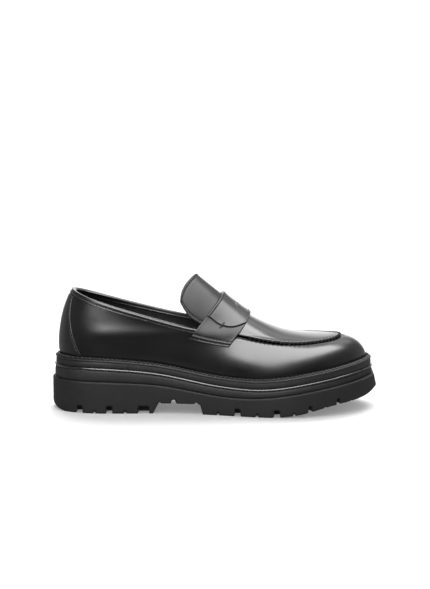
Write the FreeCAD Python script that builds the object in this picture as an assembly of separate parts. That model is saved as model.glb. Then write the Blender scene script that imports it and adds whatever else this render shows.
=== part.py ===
"""Penny loafer, right shoe, men's EU 43, on a thick lugged sole. Millimetres.

Frame: +X to the toe, +Y to the inner (medial) side, +Z up. The origin is on the
ground, at the centre of the outsole's bounding box. Each physical piece is one node.

The upper is a stack of thin shells. Two master surfaces give them all their shape:
the wall, a strip that runs round the shoe from heel seam to heel seam, and the top,
a sheet that runs from the end of the tongue to the toe end of the apron. Every shell
lies between two depths below (or heights above) a master surface.
"""

import FreeCAD, Part
import math
import os

V = FreeCAD.Vector

# ---------------------------------------------------------------- driving dimensions
SOLE_LENGTH = 308.0  # outsole, heel to toe
SOLE_WIDTH = 112.0  # outsole, across the ball
MIDSOLE_INSET = 2.6  # midsole wall, in from the outsole's outline
BEAD_INSET = 2.6  # outer face of the bead, in from the same outline
WELT_INSET = 3.4  # welt's outer edge
FEATHER_INSET = 8.2  # outer face of the upper where it meets the welt

WELT_HEIGHT = 7.2  # welt strip, from the bead to its rim
WELT_RISE = 1.3  # the welt's inner edge stands this much above its rim
BEAD_RADIUS = 1.2
INSOLE_THICKNESS = 2.4
FILLER_THICKNESS = 3.2
FOAM_THICKNESS = 3.0
SOCK_THICKNESS = 1.0
SHANK_X, SHANK_WIDTH, SHANK_THICKNESS = (-105.0, 5.0), 16.0, 1.2
LAYER_GAP = 0.12  # clearance between neighbouring layers

LINING = (-3.6, -2.6)  # depth below the upper's outer face, inner side first
STIFFENER = (-2.44, -1.56)
WALL = (-1.4, 0.0)
TONGUE_LINING = (-2.6, -1.52)
OVERLAY = (0.28, 1.3)  # a piece sewn on top of the upper
STRAP = (0.85, 1.95)
KEEPER = (2.1, 3.2)  # a piece on top of the strap
BINDING_THICKNESS = 0.8
BINDING_GAP, BINDING_INNER_GAP = 0.18, 0.3  # to the wall outside, to the lining inside
BINDING_HEADROOM = 0.4  # over the topline's edge
BINDING_FOOT = 0.915  # the binding's outer leg starts at this v of the wall
BINDING_END = -14.5  # the wall's foot has this x below the binding's ends
BINDING_CLEARANCE = 0.3  # between the binding's ends and the strap's back edge
BINDING_REACH = 0.06  # in u, how far past that foot the slanted ends may run
HEEL_SEAM = 0.0004  # half the butt seam at the back of the heel, in u
THREAD = (2.5, 0.8, 0.7)  # one stitch: length, width, thickness
TACK_THREAD = (4.2, 1.4, 1.0)
STITCH_PITCH, WELT_PITCH, APRON_PITCH = 3.6, 4.2, 4.4

SEAM_STEP = 1.5  # the apron's edge stands this much above the wall's edge
TOE_TUCK = 2.2  # every layer above the outsole is shorter by this at the toe
WELT_JOINT = 0.6  # gap where the two ends of the welt strip meet
TOE_FACE = ((154.0, 18.7), (150.8, 33.0))  # the sole's front leans back: (x, z) low and high
TREAD_DEPTH = 7.0
TREAD_OVERCUT = 6.0  # how far below the tread its cutters start

# ---------------------------------------------------------------- sole curves
# Outline of the outsole seen from above, lateral side first, before it is scaled.
OUTSOLE_OUTLINE = [
    (-152.5, 0), (-147.5, -17.5), (-133, -31), (-108, -37.5), (-75, -37.5), (-40, -37.5),
    (-5, -43), (30, -52), (62, -57), (90, -54), (115, -43.5), (135, -28), (148, -9.5),
    (152.5, 8), (148.5, 24), (136, 37.5), (112, 48), (82, 53), (50, 51), (18, 43.5),
    (-15, 35.5), (-50, 33), (-85, 35), (-112, 37), (-135, 31), (-147.8, 17.5),
]
# Heights along the shoe as (x, z).
WELT_RIM = [
    (-153, 50.5), (-110, 50), (-80, 48), (-55, 45.2), (-30, 40.7), (-8, 36.6), (15, 34),
    (38, 33.2), (62, 35.2), (85, 38.6), (110, 42.3), (130, 44.9), (153, 47.0),
]
OUTSOLE_TOP = [
    (-153, 29.9), (-110, 29.8), (-80, 28.6), (-55, 26.7), (-30, 23), (-8, 19.3), (15, 17.2),
    (38, 17.3), (62, 19.8), (85, 23.2), (110, 26.8), (130, 29.4), (153, 32),
]
TOE_SPRING = [(52, 0), (66, 0.9), (82, 3.2), (98, 7), (113, 9.9), (130, 12), (143, 14.6), (153, 19)]
HEEL_BREAST_X = -58.0
FOREPART_START_X = -11.5
ARCH_HEIGHT = 9.5
HEEL_CORNER = [(-143, 0), (-149, 1.8), (-153, 5.0), (-154.5, 9.0)]  # (x, z) round the back

# ---------------------------------------------------------------- upper curves
# The top sheet, from the tongue's end to the toe end of the apron. Each row holds the
# crest's x and z, the edge's x and z, half the width, how arched the section is (1 a
# half ellipse, 0 a shallow parabola), and how far it bows back between crest and edge.
TOP_ROWS = [
    (-18, 127.5, -31.5, 101, 25.5, 1.0, 3.5),
    (-7, 118.4, -24, 90.5, 28.5, 1.0, 1.5),
    (4.5, 109, -15.3, 84.5, 30.0, 1.0, 0),
    (18, 98.2, 1, 77.8, 31.8, 0.95, 0),
    (32.5, 88.1, 21.5, 74.4, 33.6, 0.8, 0),
    (46, 81, 39, 71.0, 34.6, 0.55, 0),
    (62, 74.4, 57.5, 68.2, 34.4, 0.35, 0),
    (80, 70.6, 78, 66.6, 31.6, 0.2, 0),
    (96, 69.2, 95, 66.9, 26.5, 0.1, 0),
    (109, 68.9, 108.5, 67.6, 18.5, 0.05, 0),
    (116, 68.9, 115.8, 68.4, 10.5, 0, 0),
    (119, 68.9, 119, 68.8, 1.0, 0, 0),
]
TOP_CENTRE = [(-40, 1.0), (20, 1.0), (70, 1.5), (119, 5.5)]  # (x, y) of the top's centreline
TONGUE_ROW = 2.16  # the tongue meets the apron here, under the strap's back edge

# The wall. Each row holds the x of its foot, its bulge, how far it rolls over at the top
# (0 straight up, 1 a quarter ellipse), and its top: a point of the topline, or a row of the
# top sheet where the seam runs and how far the wall's edge lies below the apron's there.
TOPLINE_LATERAL = [
    (-129.5, 2.0, 0.25, (-123.5, -17.5, 108.4)),
    (-101, 2.0, 0.15, (-98.5, -27.0, 100.4)),
    (-66, 2.5, 0.15, (-66, -31.0, 91.0)),
    (-34, 3.0, 0.15, (-33.5, -33.2, 82.4)),
    (-6, 2.8, 0.2, (-6, -34.4, 77.2)),
]
TOPLINE_MEDIAL = [
    (-129.5, 2.0, 0.25, (-123.5, 20.0, 108.4)),
    (-101, 2.0, 0.15, (-98.5, 29.0, 100.2)),
    (-66, 2.5, 0.15, (-66, 33.0, 91.0)),
    (-34, 3.0, 0.15, (-33.5, 35.5, 83.0)),
    (-6, 2.8, 0.2, (-6, 36.5, 77.6)),
]
SEAM_ROWS = [
    (22, 2.5, 0.35, 4.0, 0.9), (49, 2.4, 0.7, 5.6, 1.0), (78, 2.2, 0.85, 6.95, 1.0),
    (103, 2.0, 0.9, 8.05, 1.0), (125.5, 1.9, 0.95, 9.15, 1.0),
]
HEEL_TOP = (-134.3, 1.5, 112.6)
HEEL_BULGE, HEEL_ROLL = 2.2, 0.4
TOE_BULGE, TOE_ROLL = 1.9, 0.95
TOE_SEAM_ROW = 11.0

STRAP_PLANE = V(0.777, 0, -0.63)  # the strap lies between two planes square to this
STRAP_ORIGIN = V(33, 0, 87.5)
STRAP_BACK, STRAP_FRONT = -34.0, -0.6  # distances of its edges from the origin above
STRAP_END, KEEPER_END = 0.85, 0.545  # shares of the saddle's half girth that they cover
PENNY_SLOT = (19.0, 3.0)  # the coin slot's length across the foot, and its width


# ---------------------------------------------------------------- small mathematics
class Spline:
    """A natural cubic spline through tuples at rising knots."""

    def __init__(self, knots, values):
        self.knots, self.values = knots, [tuple(map(float, v)) for v in values]
        n, size = len(knots), len(self.values[0])
        self.second = [[0.0] * size for _ in knots]
        for k in range(size):
            above, right = [0.0] * n, [0.0] * n
            for i in range(1, n - 1):
                h0, h1 = knots[i] - knots[i - 1], knots[i + 1] - knots[i]
                slope1 = (self.values[i + 1][k] - self.values[i][k]) / h1
                slope0 = (self.values[i][k] - self.values[i - 1][k]) / h0
                pivot = 2 * (h0 + h1) - h0 * above[i - 1]
                above[i] = h1 / pivot
                right[i] = (6 * (slope1 - slope0) - h0 * right[i - 1]) / pivot
            for i in range(n - 2, 0, -1):
                self.second[i][k] = right[i] - above[i] * self.second[i + 1][k]

    def at(self, t):
        i = 0
        while i < len(self.knots) - 2 and t > self.knots[i + 1]:
            i += 1
        h = self.knots[i + 1] - self.knots[i]
        b = (t - self.knots[i]) / h
        a = 1 - b
        lo, hi = self.values[i], self.values[i + 1]
        m0, m1 = self.second[i], self.second[i + 1]
        return tuple(
            a * lo[k] + b * hi[k] + ((a**3 - a) * m0[k] + (b**3 - b) * m1[k]) * h * h / 6
            for k in range(len(lo))
        )


def distance(p, q):
    return math.sqrt(sum((a - b) ** 2 for a, b in zip(p, q)))


def running_length(points):
    total = [0.0]
    for p, q in zip(points, points[1:]):
        total.append(total[-1] + distance(p, q))
    return total


def closed_spline(points, stations=None):
    """A closed curve as a function of 0 to 1: by length, or through given stations."""
    if stations is None:
        lengths = running_length(list(points) + [points[0]])
        stations = [k / lengths[-1] for k in lengths[:-1]]
    wrap, n = 5, len(points)
    order = range(-wrap, n + wrap + 1)
    spline = Spline([stations[i % n] + i // n for i in order], [points[i % n] for i in order])
    return lambda u: spline.at(u % 1.0)


def height_curve(points):
    spline = Spline([p[0] for p in points], [(p[1],) for p in points])
    lo, hi = points[0][0], points[-1][0]
    return lambda x: spline.at(min(max(x, lo), hi))[0]


# ---------------------------------------------------------------- sole outline and heights
WIRE_POINTS = 64


def scaled_outline():
    """The outsole's outline, scaled to its length and width and centred on the origin."""
    curve = closed_spline(OUTSOLE_OUTLINE)
    points = [curve(i / 800) for i in range(800)]
    xs, ys = [p[0] for p in points], [p[1] for p in points]
    kx, ky = SOLE_LENGTH / (max(xs) - min(xs)), SOLE_WIDTH / (max(ys) - min(ys))
    cx, cy = (max(xs) + min(xs)) / 2, (max(ys) + min(ys)) / 2

    def scaled(u):
        x, y = curve(u)
        return (x - cx) * kx, (y - cy) * ky

    return scaled


outline = scaled_outline()
OUTLINE_LENGTH = running_length([outline(k / 400) for k in range(401)])[-1]


def outward(u):
    """The outline's outward direction in plan at u."""
    (x0, y0), (x1, y1) = outline(u - 0.004), outline(u + 0.004)
    length = math.hypot(x1 - x0, y1 - y0)
    return (y1 - y0) / length, -(x1 - x0) / length


def ease(t):
    """A smooth step from 0 to 1."""
    t = min(1.0, max(0.0, t))
    return t * t * (3 - 2 * t)


def inset_point(u, inset):
    (x, y), (nx, ny) = outline(u), outward(u)
    if inset > 0:
        inset += TOE_TUCK * ease((x - 105) / 45)
    return x - nx * inset, y - ny * inset


def station(x, side, inset):
    """Where on the outline the inset curve passes x: side is -1 lateral, 1 medial."""
    lo, hi = (0.0, 0.5) if side < 0 else (1.0, 0.5)
    for _ in range(30):
        mid = (lo + hi) / 2
        if inset_point(mid, inset)[0] < x:
            lo = mid
        else:
            hi = mid
    return (lo + hi) / 2


welt_rim = height_curve(WELT_RIM)
outsole_top = height_curve(OUTSOLE_TOP)
toe_spring = height_curve(TOE_SPRING)


def midsole_top(x):
    return welt_rim(x) - WELT_HEIGHT


# ---------------------------------------------------------------- master surfaces
top_edge_knots = running_length([(r[2], r[4], r[3]) for r in TOP_ROWS])
top_spline = Spline(top_edge_knots, TOP_ROWS)
top_centre = height_curve(TOP_CENTRE)
row_knots = Spline(list(range(len(TOP_ROWS))), [(k,) for k in top_edge_knots])


def top_point(row, t):
    """The top sheet's outer face: row 0 is the tongue's end, t is -1 lateral to 1 medial."""
    xc, zc, xe, ze, width, arch, bow = top_spline.at(row_knots.at(row)[0])
    across = (1 - arch) * t + arch * math.sin(math.pi * t / 2)
    drop = (1 - arch) * t * t + arch * (1 - math.cos(math.pi * t / 2))
    x = xc + (xe - xc) * drop - bow * math.sin(math.pi * min(1.0, drop))
    return V(x, top_centre(x) + width * across, zc + (ze - zc) * drop)


def wall_rows():
    """Stations of the wall, lateral side first: u, bulge, roll and the top's x, y and z."""

    def seam(row, side, step):
        p = top_point(row, side)
        return (p.x, p.y, p.z - SEAM_STEP * step)

    rows = [(0.0, HEEL_BULGE, HEEL_ROLL, *HEEL_TOP)]
    for side, topline in ((-1, TOPLINE_LATERAL), (1, TOPLINE_MEDIAL)):
        for x, bulge, roll, top in topline:
            rows.append((station(x, side, FEATHER_INSET), bulge, roll, *top))
        for x, bulge, roll, row, step in SEAM_ROWS:
            top = seam(row, side, step)
            rows.append((station(x, side, FEATHER_INSET), bulge, roll, *top))
    rows.append((station(143.2, -1, FEATHER_INSET), TOE_BULGE, TOE_ROLL, *seam(TOE_SEAM_ROW, 0, 1)))
    return sorted(rows)


ROWS = wall_rows()
wall_spline = closed_spline([r[1:] for r in ROWS], [r[0] for r in ROWS])


def wall_point(u, v):
    """The wall's outer face: u is 0 to 1 round the shoe, v is 0 at its foot to 1 at its top."""
    bulge, roll, tx, ty, tz = wall_spline(u)
    fx, fy = inset_point(u, FEATHER_INSET)
    fz = midsole_top(fx) + LAYER_GAP
    out_x, out_y = outward(u)
    angle = v * math.pi / 2
    inward = (1 - roll) * v * v + roll * (1 - math.cos(angle))
    rise = (1 - roll) * v + roll * math.sin(angle)
    swell = bulge * math.sin(math.pi * v * (1.5 - 0.5 * v))
    x = fx + (tx - fx) * inward + out_x * swell
    y = fy + (ty - fy) * inward + out_y * swell
    return V(x, y, fz + (tz - fz) * rise)


def offset_point(surface, a, b, depth, da=0.002, db=0.01):
    """A point of a master surface moved along its normal; positive is out of the shoe."""
    b0, b1 = max(b - db, 0 if surface is wall_point else -1), min(b + db, 1)
    along = surface(a + da, b) - surface(a - da, b)
    across = surface(a, b1) - surface(a, b0)
    normal = along.cross(across)
    return surface(a, b) + normal.normalize() * depth


# ---------------------------------------------------------------- solid makers
def strips_of(grid, cuts):
    """The surface through a grid, cut across its rows at shares of its span, and its borders."""
    whole = Part.BSplineSurface()
    whole.interpolate(grid)
    u0, u1, v0, v1 = whole.bounds()
    stops = [u0 + (u1 - u0) * c for c in (0.0, *cuts, 1.0)]
    borders = [whole.uIso(u0), whole.uIso(u1)]
    strips = []
    for a, b in zip(stops, stops[1:]):
        strip = whole.copy()
        strip.segment(a, b, v0, v1)
        strips.append(strip.toShape())
        borders += [strip.vIso(v0), strip.vIso(v1)]
    return strips, [c.toShape() for c in borders]


def solid_between(outer, inner, cuts=()):
    """A closed solid between two grids of points of the same size."""
    outer_faces, outer_borders = strips_of(outer, cuts)
    inner_faces, inner_borders = strips_of(inner, cuts)
    faces = outer_faces + inner_faces
    faces += [Part.makeRuledSurface(a, b) for a, b in zip(outer_borders, inner_borders)]
    shell = Part.Shell(faces)
    shell.sewShape()
    solid = Part.Solid(shell)
    if solid.Volume < 0:
        solid.reverse()
    return solid


def spread(lo, hi, count):
    return [lo + (hi - lo) * i / (count - 1) for i in range(count)]


def shell_of(surface, layer, a_values, b_values):
    """A shell between two depths of a master surface; a depth may vary with b."""
    grids = []
    for depth in reversed(layer):
        level = depth if callable(depth) else (lambda b, d=depth: d)
        grids.append([[offset_point(surface, a, b, level(b)) for b in b_values] for a in a_values])
    return solid_between(*grids)


def outline_prism(inset):
    """A tall prism on the outsole's outline, moved in by inset."""
    ring = [V(*inset_point(k / WIRE_POINTS, inset), -5) for k in range(WIRE_POINTS)]
    curve = Part.BSplineCurve()
    curve.interpolate(Points=ring, PeriodicFlag=True)
    return Part.Face(Part.Wire([curve.toShape()])).extrude(V(0, 0, 80))


def height_edge(height, x0, x1, count=36):
    curve = Part.BSplineCurve()
    curve.interpolate([V(x, -SOLE_WIDTH, height(x)) for x in spread(x0, x1, count)])
    return curve.toShape()


def slab(edges):
    """A slab across the shoe whose side view is bounded by the edges."""
    return Part.Face(Part.Wire(Part.__sortEdges__(edges))).extrude(V(0, 2 * SOLE_WIDTH, 0))


def side_profile(lower, upper, x0, x1):
    ends = [
        Part.makeLine(V(x, -SOLE_WIDTH, lower(x)), V(x, -SOLE_WIDTH, upper(x))) for x in (x0, x1)
    ]
    return slab([height_edge(lower, x0, x1), height_edge(upper, x0, x1), *ends])


def flat_layer(inset, lower, upper, x0=-170.0, x1=170.0):
    """A layer of the sole: an inset outline between two height curves."""
    return outline_prism(inset).common(side_profile(lower, upper, x0, x1))


def export(name, shape):
    shape.exportStep(f"parts/{name}.step")
    box = shape.BoundBox
    print(
        f"{name:22s} solids {len(shape.Solids):3d} valid {shape.isValid()} "
        f"volume {shape.Volume:10.1f} z {box.ZMin:6.1f} {box.ZMax:6.1f}"
    )


# ---------------------------------------------------------------- outsole
def outsole_body():
    """The rubber unit before its tread is cut: a heel, a raised arch and a forepart."""
    width = SOLE_WIDTH
    (low_x, low_z), (high_x, _) = TOE_FACE
    corners = [
        (TOE_SPRING[0][0], 0), (FOREPART_START_X, 0), (FOREPART_START_X - 2.5, ARCH_HEIGHT),
        (HEEL_BREAST_X + 5, ARCH_HEIGHT), (HEEL_BREAST_X, 0), *HEEL_CORNER,
        (-170, 20), (-170, outsole_top(-170)),
    ]
    nose = [(high_x, outsole_top(high_x)), (low_x, low_z), (low_x - 1.5, toe_spring(low_x - 1.5))]
    edges = []
    for run in (corners, nose):
        points = [V(x, -width, z) for x, z in run]
        edges += [Part.makeLine(a, b) for a, b in zip(points, points[1:])]
    edges.append(height_edge(outsole_top, -170, high_x, 40))
    edges.append(height_edge(toe_spring, TOE_SPRING[0][0], low_x - 1.5, 10))
    return outline_prism(0).common(slab(edges))


def notch(x, side, width, depth, height, sweep):
    """A tread notch cut in from one side of the sole, leaning by sweep along x."""
    base = toe_spring(x)
    edge_y = inset_point(station(x, side, 0), 0)[1]
    section = [
        (-width / 2, base - TREAD_OVERCUT), (width / 2, base - TREAD_OVERCUT),
        (width / 2 - 0.5, base + height),
        (-width / 2 + 0.5, base + height),
    ]

    def ring(y, shift):
        points = [V(x + shift + dx, y, z) for dx, z in section]
        return Part.makePolygon(points + points[:1])

    return Part.makeLoft([ring(edge_y + side * 4, 0), ring(edge_y - side * depth, sweep)], True, True)


# Notches on both edges: where along x, width, depth in from the edge, height, and sweep.
LARGE_NOTCHES = [(x, 6.2, 14.0, TREAD_DEPTH, 1.5) for x in (-127.5, -99.5, 20.5, 57)]
SMALL_NOTCHES = [(x, 2.6, 7.0, 3.3, 0.8) for x in (-113.5, -84.5, 2.5, 38.5, 73)]
BREAST_NOTCHES = [(-67.5, 11.0, 12.0, 7.0, 2.0)]
TOE_NOTCHES = [(90, 4.6, 13.0, 5.5, -5.0), (116.5, 4.6, 11.0, 5.5, -5.0)]
TOE_TICKS = [(104, 2.2, 6.0, 2.8, -3.0), (129, 2.2, 5.0, 2.8, -3.0)]
# Channels between the edge lugs: where along x, and half the length across the shoe.
CHEVRONS = [(-119, 15), (-91, 15), (-4, 17), (29, 24), (65, 26), (98, 20)]
CHEVRON_DEPTH = 5.0
# Grooves right across the raised arch: where along x, width and depth.
ARCH_GROOVES = [(-51.8, 3.2, 1.4), (-38.8, 5.4, 3.6), (-17.5, 4.0, 1.6)]


def tread_cutters():
    cutters = []
    for side in (-1, 1):
        for notches in (LARGE_NOTCHES, SMALL_NOTCHES, BREAST_NOTCHES, TOE_NOTCHES, TOE_TICKS):
            cutters += [notch(x, side, *sizes) for x, *sizes in notches]
    for x, half in CHEVRONS:
        base = toe_spring(x + 4)
        arrow = [(-2.5, -half), (2.5, -half), (7, 0), (2.5, half), (-2.5, half), (2, 0)]
        ring = [V(x + dx, 1 + y, base - TREAD_OVERCUT) for dx, y in arrow]
        rise = V(0, 0, TREAD_OVERCUT + CHEVRON_DEPTH)
        cutters.append(Part.Face(Part.makePolygon(ring + ring[:1])).extrude(rise))
    for x, width, depth in ARCH_GROOVES:
        foot, crown = ARCH_HEIGHT - TREAD_OVERCUT, ARCH_HEIGHT + depth
        wide, narrow = 0.7 * width, 0.3 * width
        section = [(-wide, foot), (wide, foot), (narrow, crown), (-narrow, crown)]
        ring = [V(x + dx, -SOLE_WIDTH, z) for dx, z in section]
        cutters.append(Part.Face(Part.makePolygon(ring + ring[:1])).extrude(V(0, 2 * SOLE_WIDTH, 0)))
    return cutters


def make_outsole():
    return outsole_body().cut(tread_cutters())


# ---------------------------------------------------------------- midsole, bead, welt
def bead_bottom(x):
    return midsole_top(x) - 2 * BEAD_RADIUS


def make_midsole():
    return flat_layer(
        MIDSOLE_INSET, lambda x: outsole_top(x) + LAYER_GAP, lambda x: bead_bottom(x) - LAYER_GAP
    )


def make_bead():
    """A thin rubber plate between midsole and welt, whose rim shows as a bead."""
    return flat_layer(BEAD_INSET - 0.5, bead_bottom, lambda x: midsole_top(x) - LAYER_GAP / 2)


def foot_height_v(u, height):
    """The wall's v at which it stands a height above its foot."""
    foot = wall_point(u, 0).z
    lo, hi = 0.0, 0.6
    for _ in range(24):
        mid = (lo + hi) / 2
        if wall_point(u, mid).z - foot < height:
            lo = mid
        else:
            hi = mid
    return lo


def welt_rows(count=110):
    """Stations of the welt strip from one end of its butt joint to the other."""
    joint = station(-81.5, -1, WELT_INSET)
    half = WELT_JOINT / 2 / OUTLINE_LENGTH
    return spread(joint + half, joint + 1 - half, count)


def make_welt():
    """A strip round the foot of the upper, its top sloping up to it, with a butt joint."""
    outer, inner = [], []
    for u in welt_rows():
        x, y = inset_point(u, WELT_INSET)
        base = midsole_top(x) + LAYER_GAP / 2
        outer.append([V(x, y, base + h) for h in spread(0.0, WELT_HEIGHT, 4)])
        heights = spread(0.0, WELT_HEIGHT + WELT_RISE, 4)
        against = [
            offset_point(wall_point, u, foot_height_v(u, h), 2 * LAYER_GAP) for h in heights
        ]
        against[0].z = base
        inner.append(against)
    return solid_between(outer, inner)


def bar(centre, along, up, size):
    """A small block centred on a point: one stitch, as a short bar of thread."""
    along = V(along).normalize()
    side = V(up).cross(along).normalize()
    up = along.cross(side)
    length, width, height = size
    corner = centre - along * (length / 2) - side * (width / 2) - up * (height / 2)
    block = Part.makeBox(length, width, height)
    block.Placement = FreeCAD.Placement(FreeCAD.Matrix(
        along.x, side.x, up.x, corner.x, along.y, side.y, up.y, corner.y,
        along.z, side.z, up.z, corner.z, 0, 0, 0, 1,
    ))
    return block


def stitch_row(surface, path, size, pitch):
    """Bars of thread along a path of (a, b) on a surface, one each pitch, half sunk in it."""
    points = [offset_point(surface, a, b, 0) for a, b in path]
    risen = [offset_point(surface, a, b, 1) for a, b in path]
    knots = running_length(points)
    line = Spline(knots, [tuple(p) for p in points])
    rise = Spline(knots, [tuple(r - p) for p, r in zip(points, risen)])
    count = int(knots[-1] // pitch)
    start = (knots[-1] - (count - 1) * pitch) / 2
    bars = []
    for k in range(count):
        s = start + k * pitch
        along = V(*line.at(min(s + 0.3, knots[-1]))) - V(*line.at(max(s - 0.3, 0)))
        bars.append(bar(V(*line.at(s)), along, V(*rise.at(s)), size))
    return bars


def welt_face(u, v):
    """The welt's sloping top: v is 0 at its rim and 1 against the upper."""
    x, y = inset_point(u, WELT_INSET)
    rim = V(x, y, midsole_top(x) + LAYER_GAP / 2 + WELT_HEIGHT)
    height = WELT_HEIGHT + WELT_RISE
    against = offset_point(wall_point, u, foot_height_v(u, height), 2 * LAYER_GAP)
    return rim + (against - rim) * v


def make_welt_stitches():
    path = [(u, 0.55) for u in welt_rows(90)]
    return Part.Compound(stitch_row(welt_face, path, THREAD, WELT_PITCH))


# ---------------------------------------------------------------- inside the sole
BOARD_INSET = FEATHER_INSET - LINING[0] + 0.7


def make_insole_board():
    return flat_layer(
        BOARD_INSET, lambda x: midsole_top(x) + FILLER_THICKNESS + LAYER_GAP,
        lambda x: midsole_top(x) + FILLER_THICKNESS + INSOLE_THICKNESS,
    )


def shank_block(clearance=0.0):
    """A steel strip along the waist; with a clearance, the slot it lies in."""
    x0, x1 = SHANK_X
    width = SHANK_WIDTH + 2 * clearance
    top = SHANK_THICKNESS + (FILLER_THICKNESS if clearance else 0)
    strip = side_profile(
        lambda x: midsole_top(x) + LAYER_GAP - clearance,
        lambda x: midsole_top(x) + LAYER_GAP + top, x0 - clearance, x1 + clearance,
    )
    return strip.common(Part.makeBox(200, width, 120, V(-150, 1 - width / 2, 0)))


def make_filler():
    layer = flat_layer(
        BOARD_INSET, lambda x: midsole_top(x) + LAYER_GAP,
        lambda x: midsole_top(x) + FILLER_THICKNESS,
    )
    return layer.cut(shank_block(clearance=LAYER_GAP))


def make_foam():
    base = FILLER_THICKNESS + INSOLE_THICKNESS + LAYER_GAP
    return flat_layer(
        BOARD_INSET + 1, lambda x: midsole_top(x) + base,
        lambda x: midsole_top(x) + base + FOAM_THICKNESS,
    )


def make_sock():
    base = FILLER_THICKNESS + INSOLE_THICKNESS + FOAM_THICKNESS + 2 * LAYER_GAP
    return flat_layer(
        BOARD_INSET + 0.4, lambda x: midsole_top(x) + base,
        lambda x: midsole_top(x) + base + SOCK_THICKNESS,
    )


# ---------------------------------------------------------------- upper
U_COUNT = 120  # columns of the wall's grid all the way round
V_STEPS = [0, 0.05, 0.11, 0.18, 0.27, 0.37, 0.5, 0.62, 0.71, 0.78, 0.84, 0.89, 0.945, 1.0]


def wall_columns(lo, hi):
    """The wall's own grid columns between two stations, with the stations themselves."""
    inner = [k / U_COUNT for k in range(-U_COUNT, U_COUNT + 1)]
    ends = [0.0, 0.0012, 0.003, 0.0055]
    columns = [lo + e for e in ends] + [hi - e for e in ends]
    return sorted(columns + [u for u in inner if lo + 0.008 < u < hi - 0.008])


def wall_levels(lo, hi):
    return [lo] + [v for v in V_STEPS if lo + 0.02 < v < hi - 0.02] + [hi]


def lining_depth(depth):
    """The lining comes up against the wall near the topline, where no stiffener lies between."""
    lift = STIFFENER[1] - STIFFENER[0] + LAYER_GAP
    return lambda v: depth + lift * ease((v - 0.72) / 0.12)


def wall_shell(layer, u_values, v_values):
    return shell_of(wall_point, layer, u_values, v_values)


def make_wall():
    return wall_shell(WALL, wall_columns(HEEL_SEAM, 1 - HEEL_SEAM), V_STEPS)


def make_lining():
    """The lining lies inside the wall, from heel seam to heel seam."""
    layer = [lining_depth(d) for d in LINING]
    return wall_shell(layer, wall_columns(HEEL_SEAM, 1 - HEEL_SEAM), V_STEPS)


def wall_station(x, side):
    return station(x, side, FEATHER_INSET)


def make_counter():
    """The heel counter, round the back of the heel between wall and lining."""
    us = wall_columns(wall_station(-64, 1) - 1, wall_station(-64, -1))
    return wall_shell(STIFFENER, us, wall_levels(0.02, 0.7))


def make_toe_puff():
    us = wall_columns(wall_station(92, -1), wall_station(92, 1))
    return wall_shell(STIFFENER, us, wall_levels(0.02, 0.7))


def make_side_linings():
    """Woven linings that fill the layer between counter and toe puff on both sides."""
    sides = []
    for side in (-1, 1):
        us = wall_columns(*sorted((wall_station(-62, side), wall_station(90, side))))
        sides.append(wall_shell(STIFFENER, us, wall_levels(0.02, 0.7)))
    return Part.Compound(sides)


def backstay_half(v):
    """Half the backstay's width, in u: it widens towards its foot."""
    return 0.054 - 0.027 * v + 0.023 * (1 - v) ** 3


def backstay_point(k, v):
    return wall_point(backstay_half(v) * k, v)


def make_backstay():
    return shell_of(backstay_point, OVERLAY, spread(-1, 1, 21), wall_levels(0.14, 0.9))


def make_backstay_stitches():
    bars = []
    for side in (-1, 1):
        path = [(side * 0.9, v) for v in spread(0.18, 0.88, 14)]
        edge = lambda k, v: offset_point(backstay_point, k, v, OVERLAY[1])
        bars += stitch_row(edge, path, THREAD, STITCH_PITCH)
    return Part.Compound(bars)


BINDING_LEG = spread(BINDING_FOOT, 0.985, 4)
BINDING_CROWN = [math.radians(angle) for angle in (150, 120, 90, 60, 30)]
BINDING_POINTS = 2 * len(BINDING_LEG) + len(BINDING_CROWN)


def binding_point(u, k, grow):
    """Point k of a U over the topline: down the outside, over the edge and down the inside."""
    legs, inner_depth = len(BINDING_LEG), lining_depth(LINING[0])(1.0)
    if k < legs:
        return offset_point(wall_point, u, BINDING_LEG[k], BINDING_GAP + grow)
    if k >= BINDING_POINTS - legs:
        inside = inner_depth - BINDING_INNER_GAP - grow
        return offset_point(wall_point, u, BINDING_LEG[BINDING_POINTS - 1 - k], inside)
    edge_out = offset_point(wall_point, u, 1.0, 0)
    edge_in = offset_point(wall_point, u, 1.0, inner_depth)
    across = (edge_in - edge_out).normalize()
    angle = BINDING_CROWN[k - legs]
    gap = BINDING_GAP if math.cos(angle) < 0 else BINDING_INNER_GAP
    half = (edge_in - edge_out).Length / 2 + gap + grow
    rise = V(0, 0, (BINDING_HEADROOM + grow) * math.sin(angle) ** 0.7)
    return (edge_out + edge_in) * 0.5 + across * (half * math.cos(angle)) + rise


def binding_end(k, heel, front):
    """The station where line k of the binding reaches the strap's back edge."""
    for _ in range(24):
        middle = (heel + front) / 2
        reach = (binding_point(middle, k, BINDING_THICKNESS) - STRAP_ORIGIN).dot(STRAP_PLANE)
        if reach < STRAP_BACK - BINDING_CLEARANCE:
            heel = middle
        else:
            front = middle
    return heel


def make_binding():
    """A folded leather edge over the topline, its ends cut along the strap's back edge."""
    medial, lateral = wall_station(BINDING_END, 1) - 1, wall_station(BINDING_END, -1)
    ends = []
    for k in range(BINDING_POINTS):
        start = binding_end(k, medial / 2, medial - BINDING_REACH)
        ends.append((start, binding_end(k, lateral / 2, lateral + BINDING_REACH)))
    first, last = min(e[0] for e in ends), max(e[1] for e in ends)
    us = wall_columns(first, last)
    grids = []
    for grow in (BINDING_THICKNESS, 0.0):
        grid = []
        for k, (start, stop) in enumerate(ends):
            line = []
            for u in us:  # the slant fades out over the last third at each end
                back, front = ease(u / first * 3 - 2), ease(u / last * 3 - 2)
                skew = (start - first) * back + (stop - last) * front
                line.append(binding_point(u + skew, k, grow))
            grid.append(line)
        grids.append([list(section) for section in zip(*grid)])
    return solid_between(*grids, cuts=(0.3, 0.7))


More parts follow.
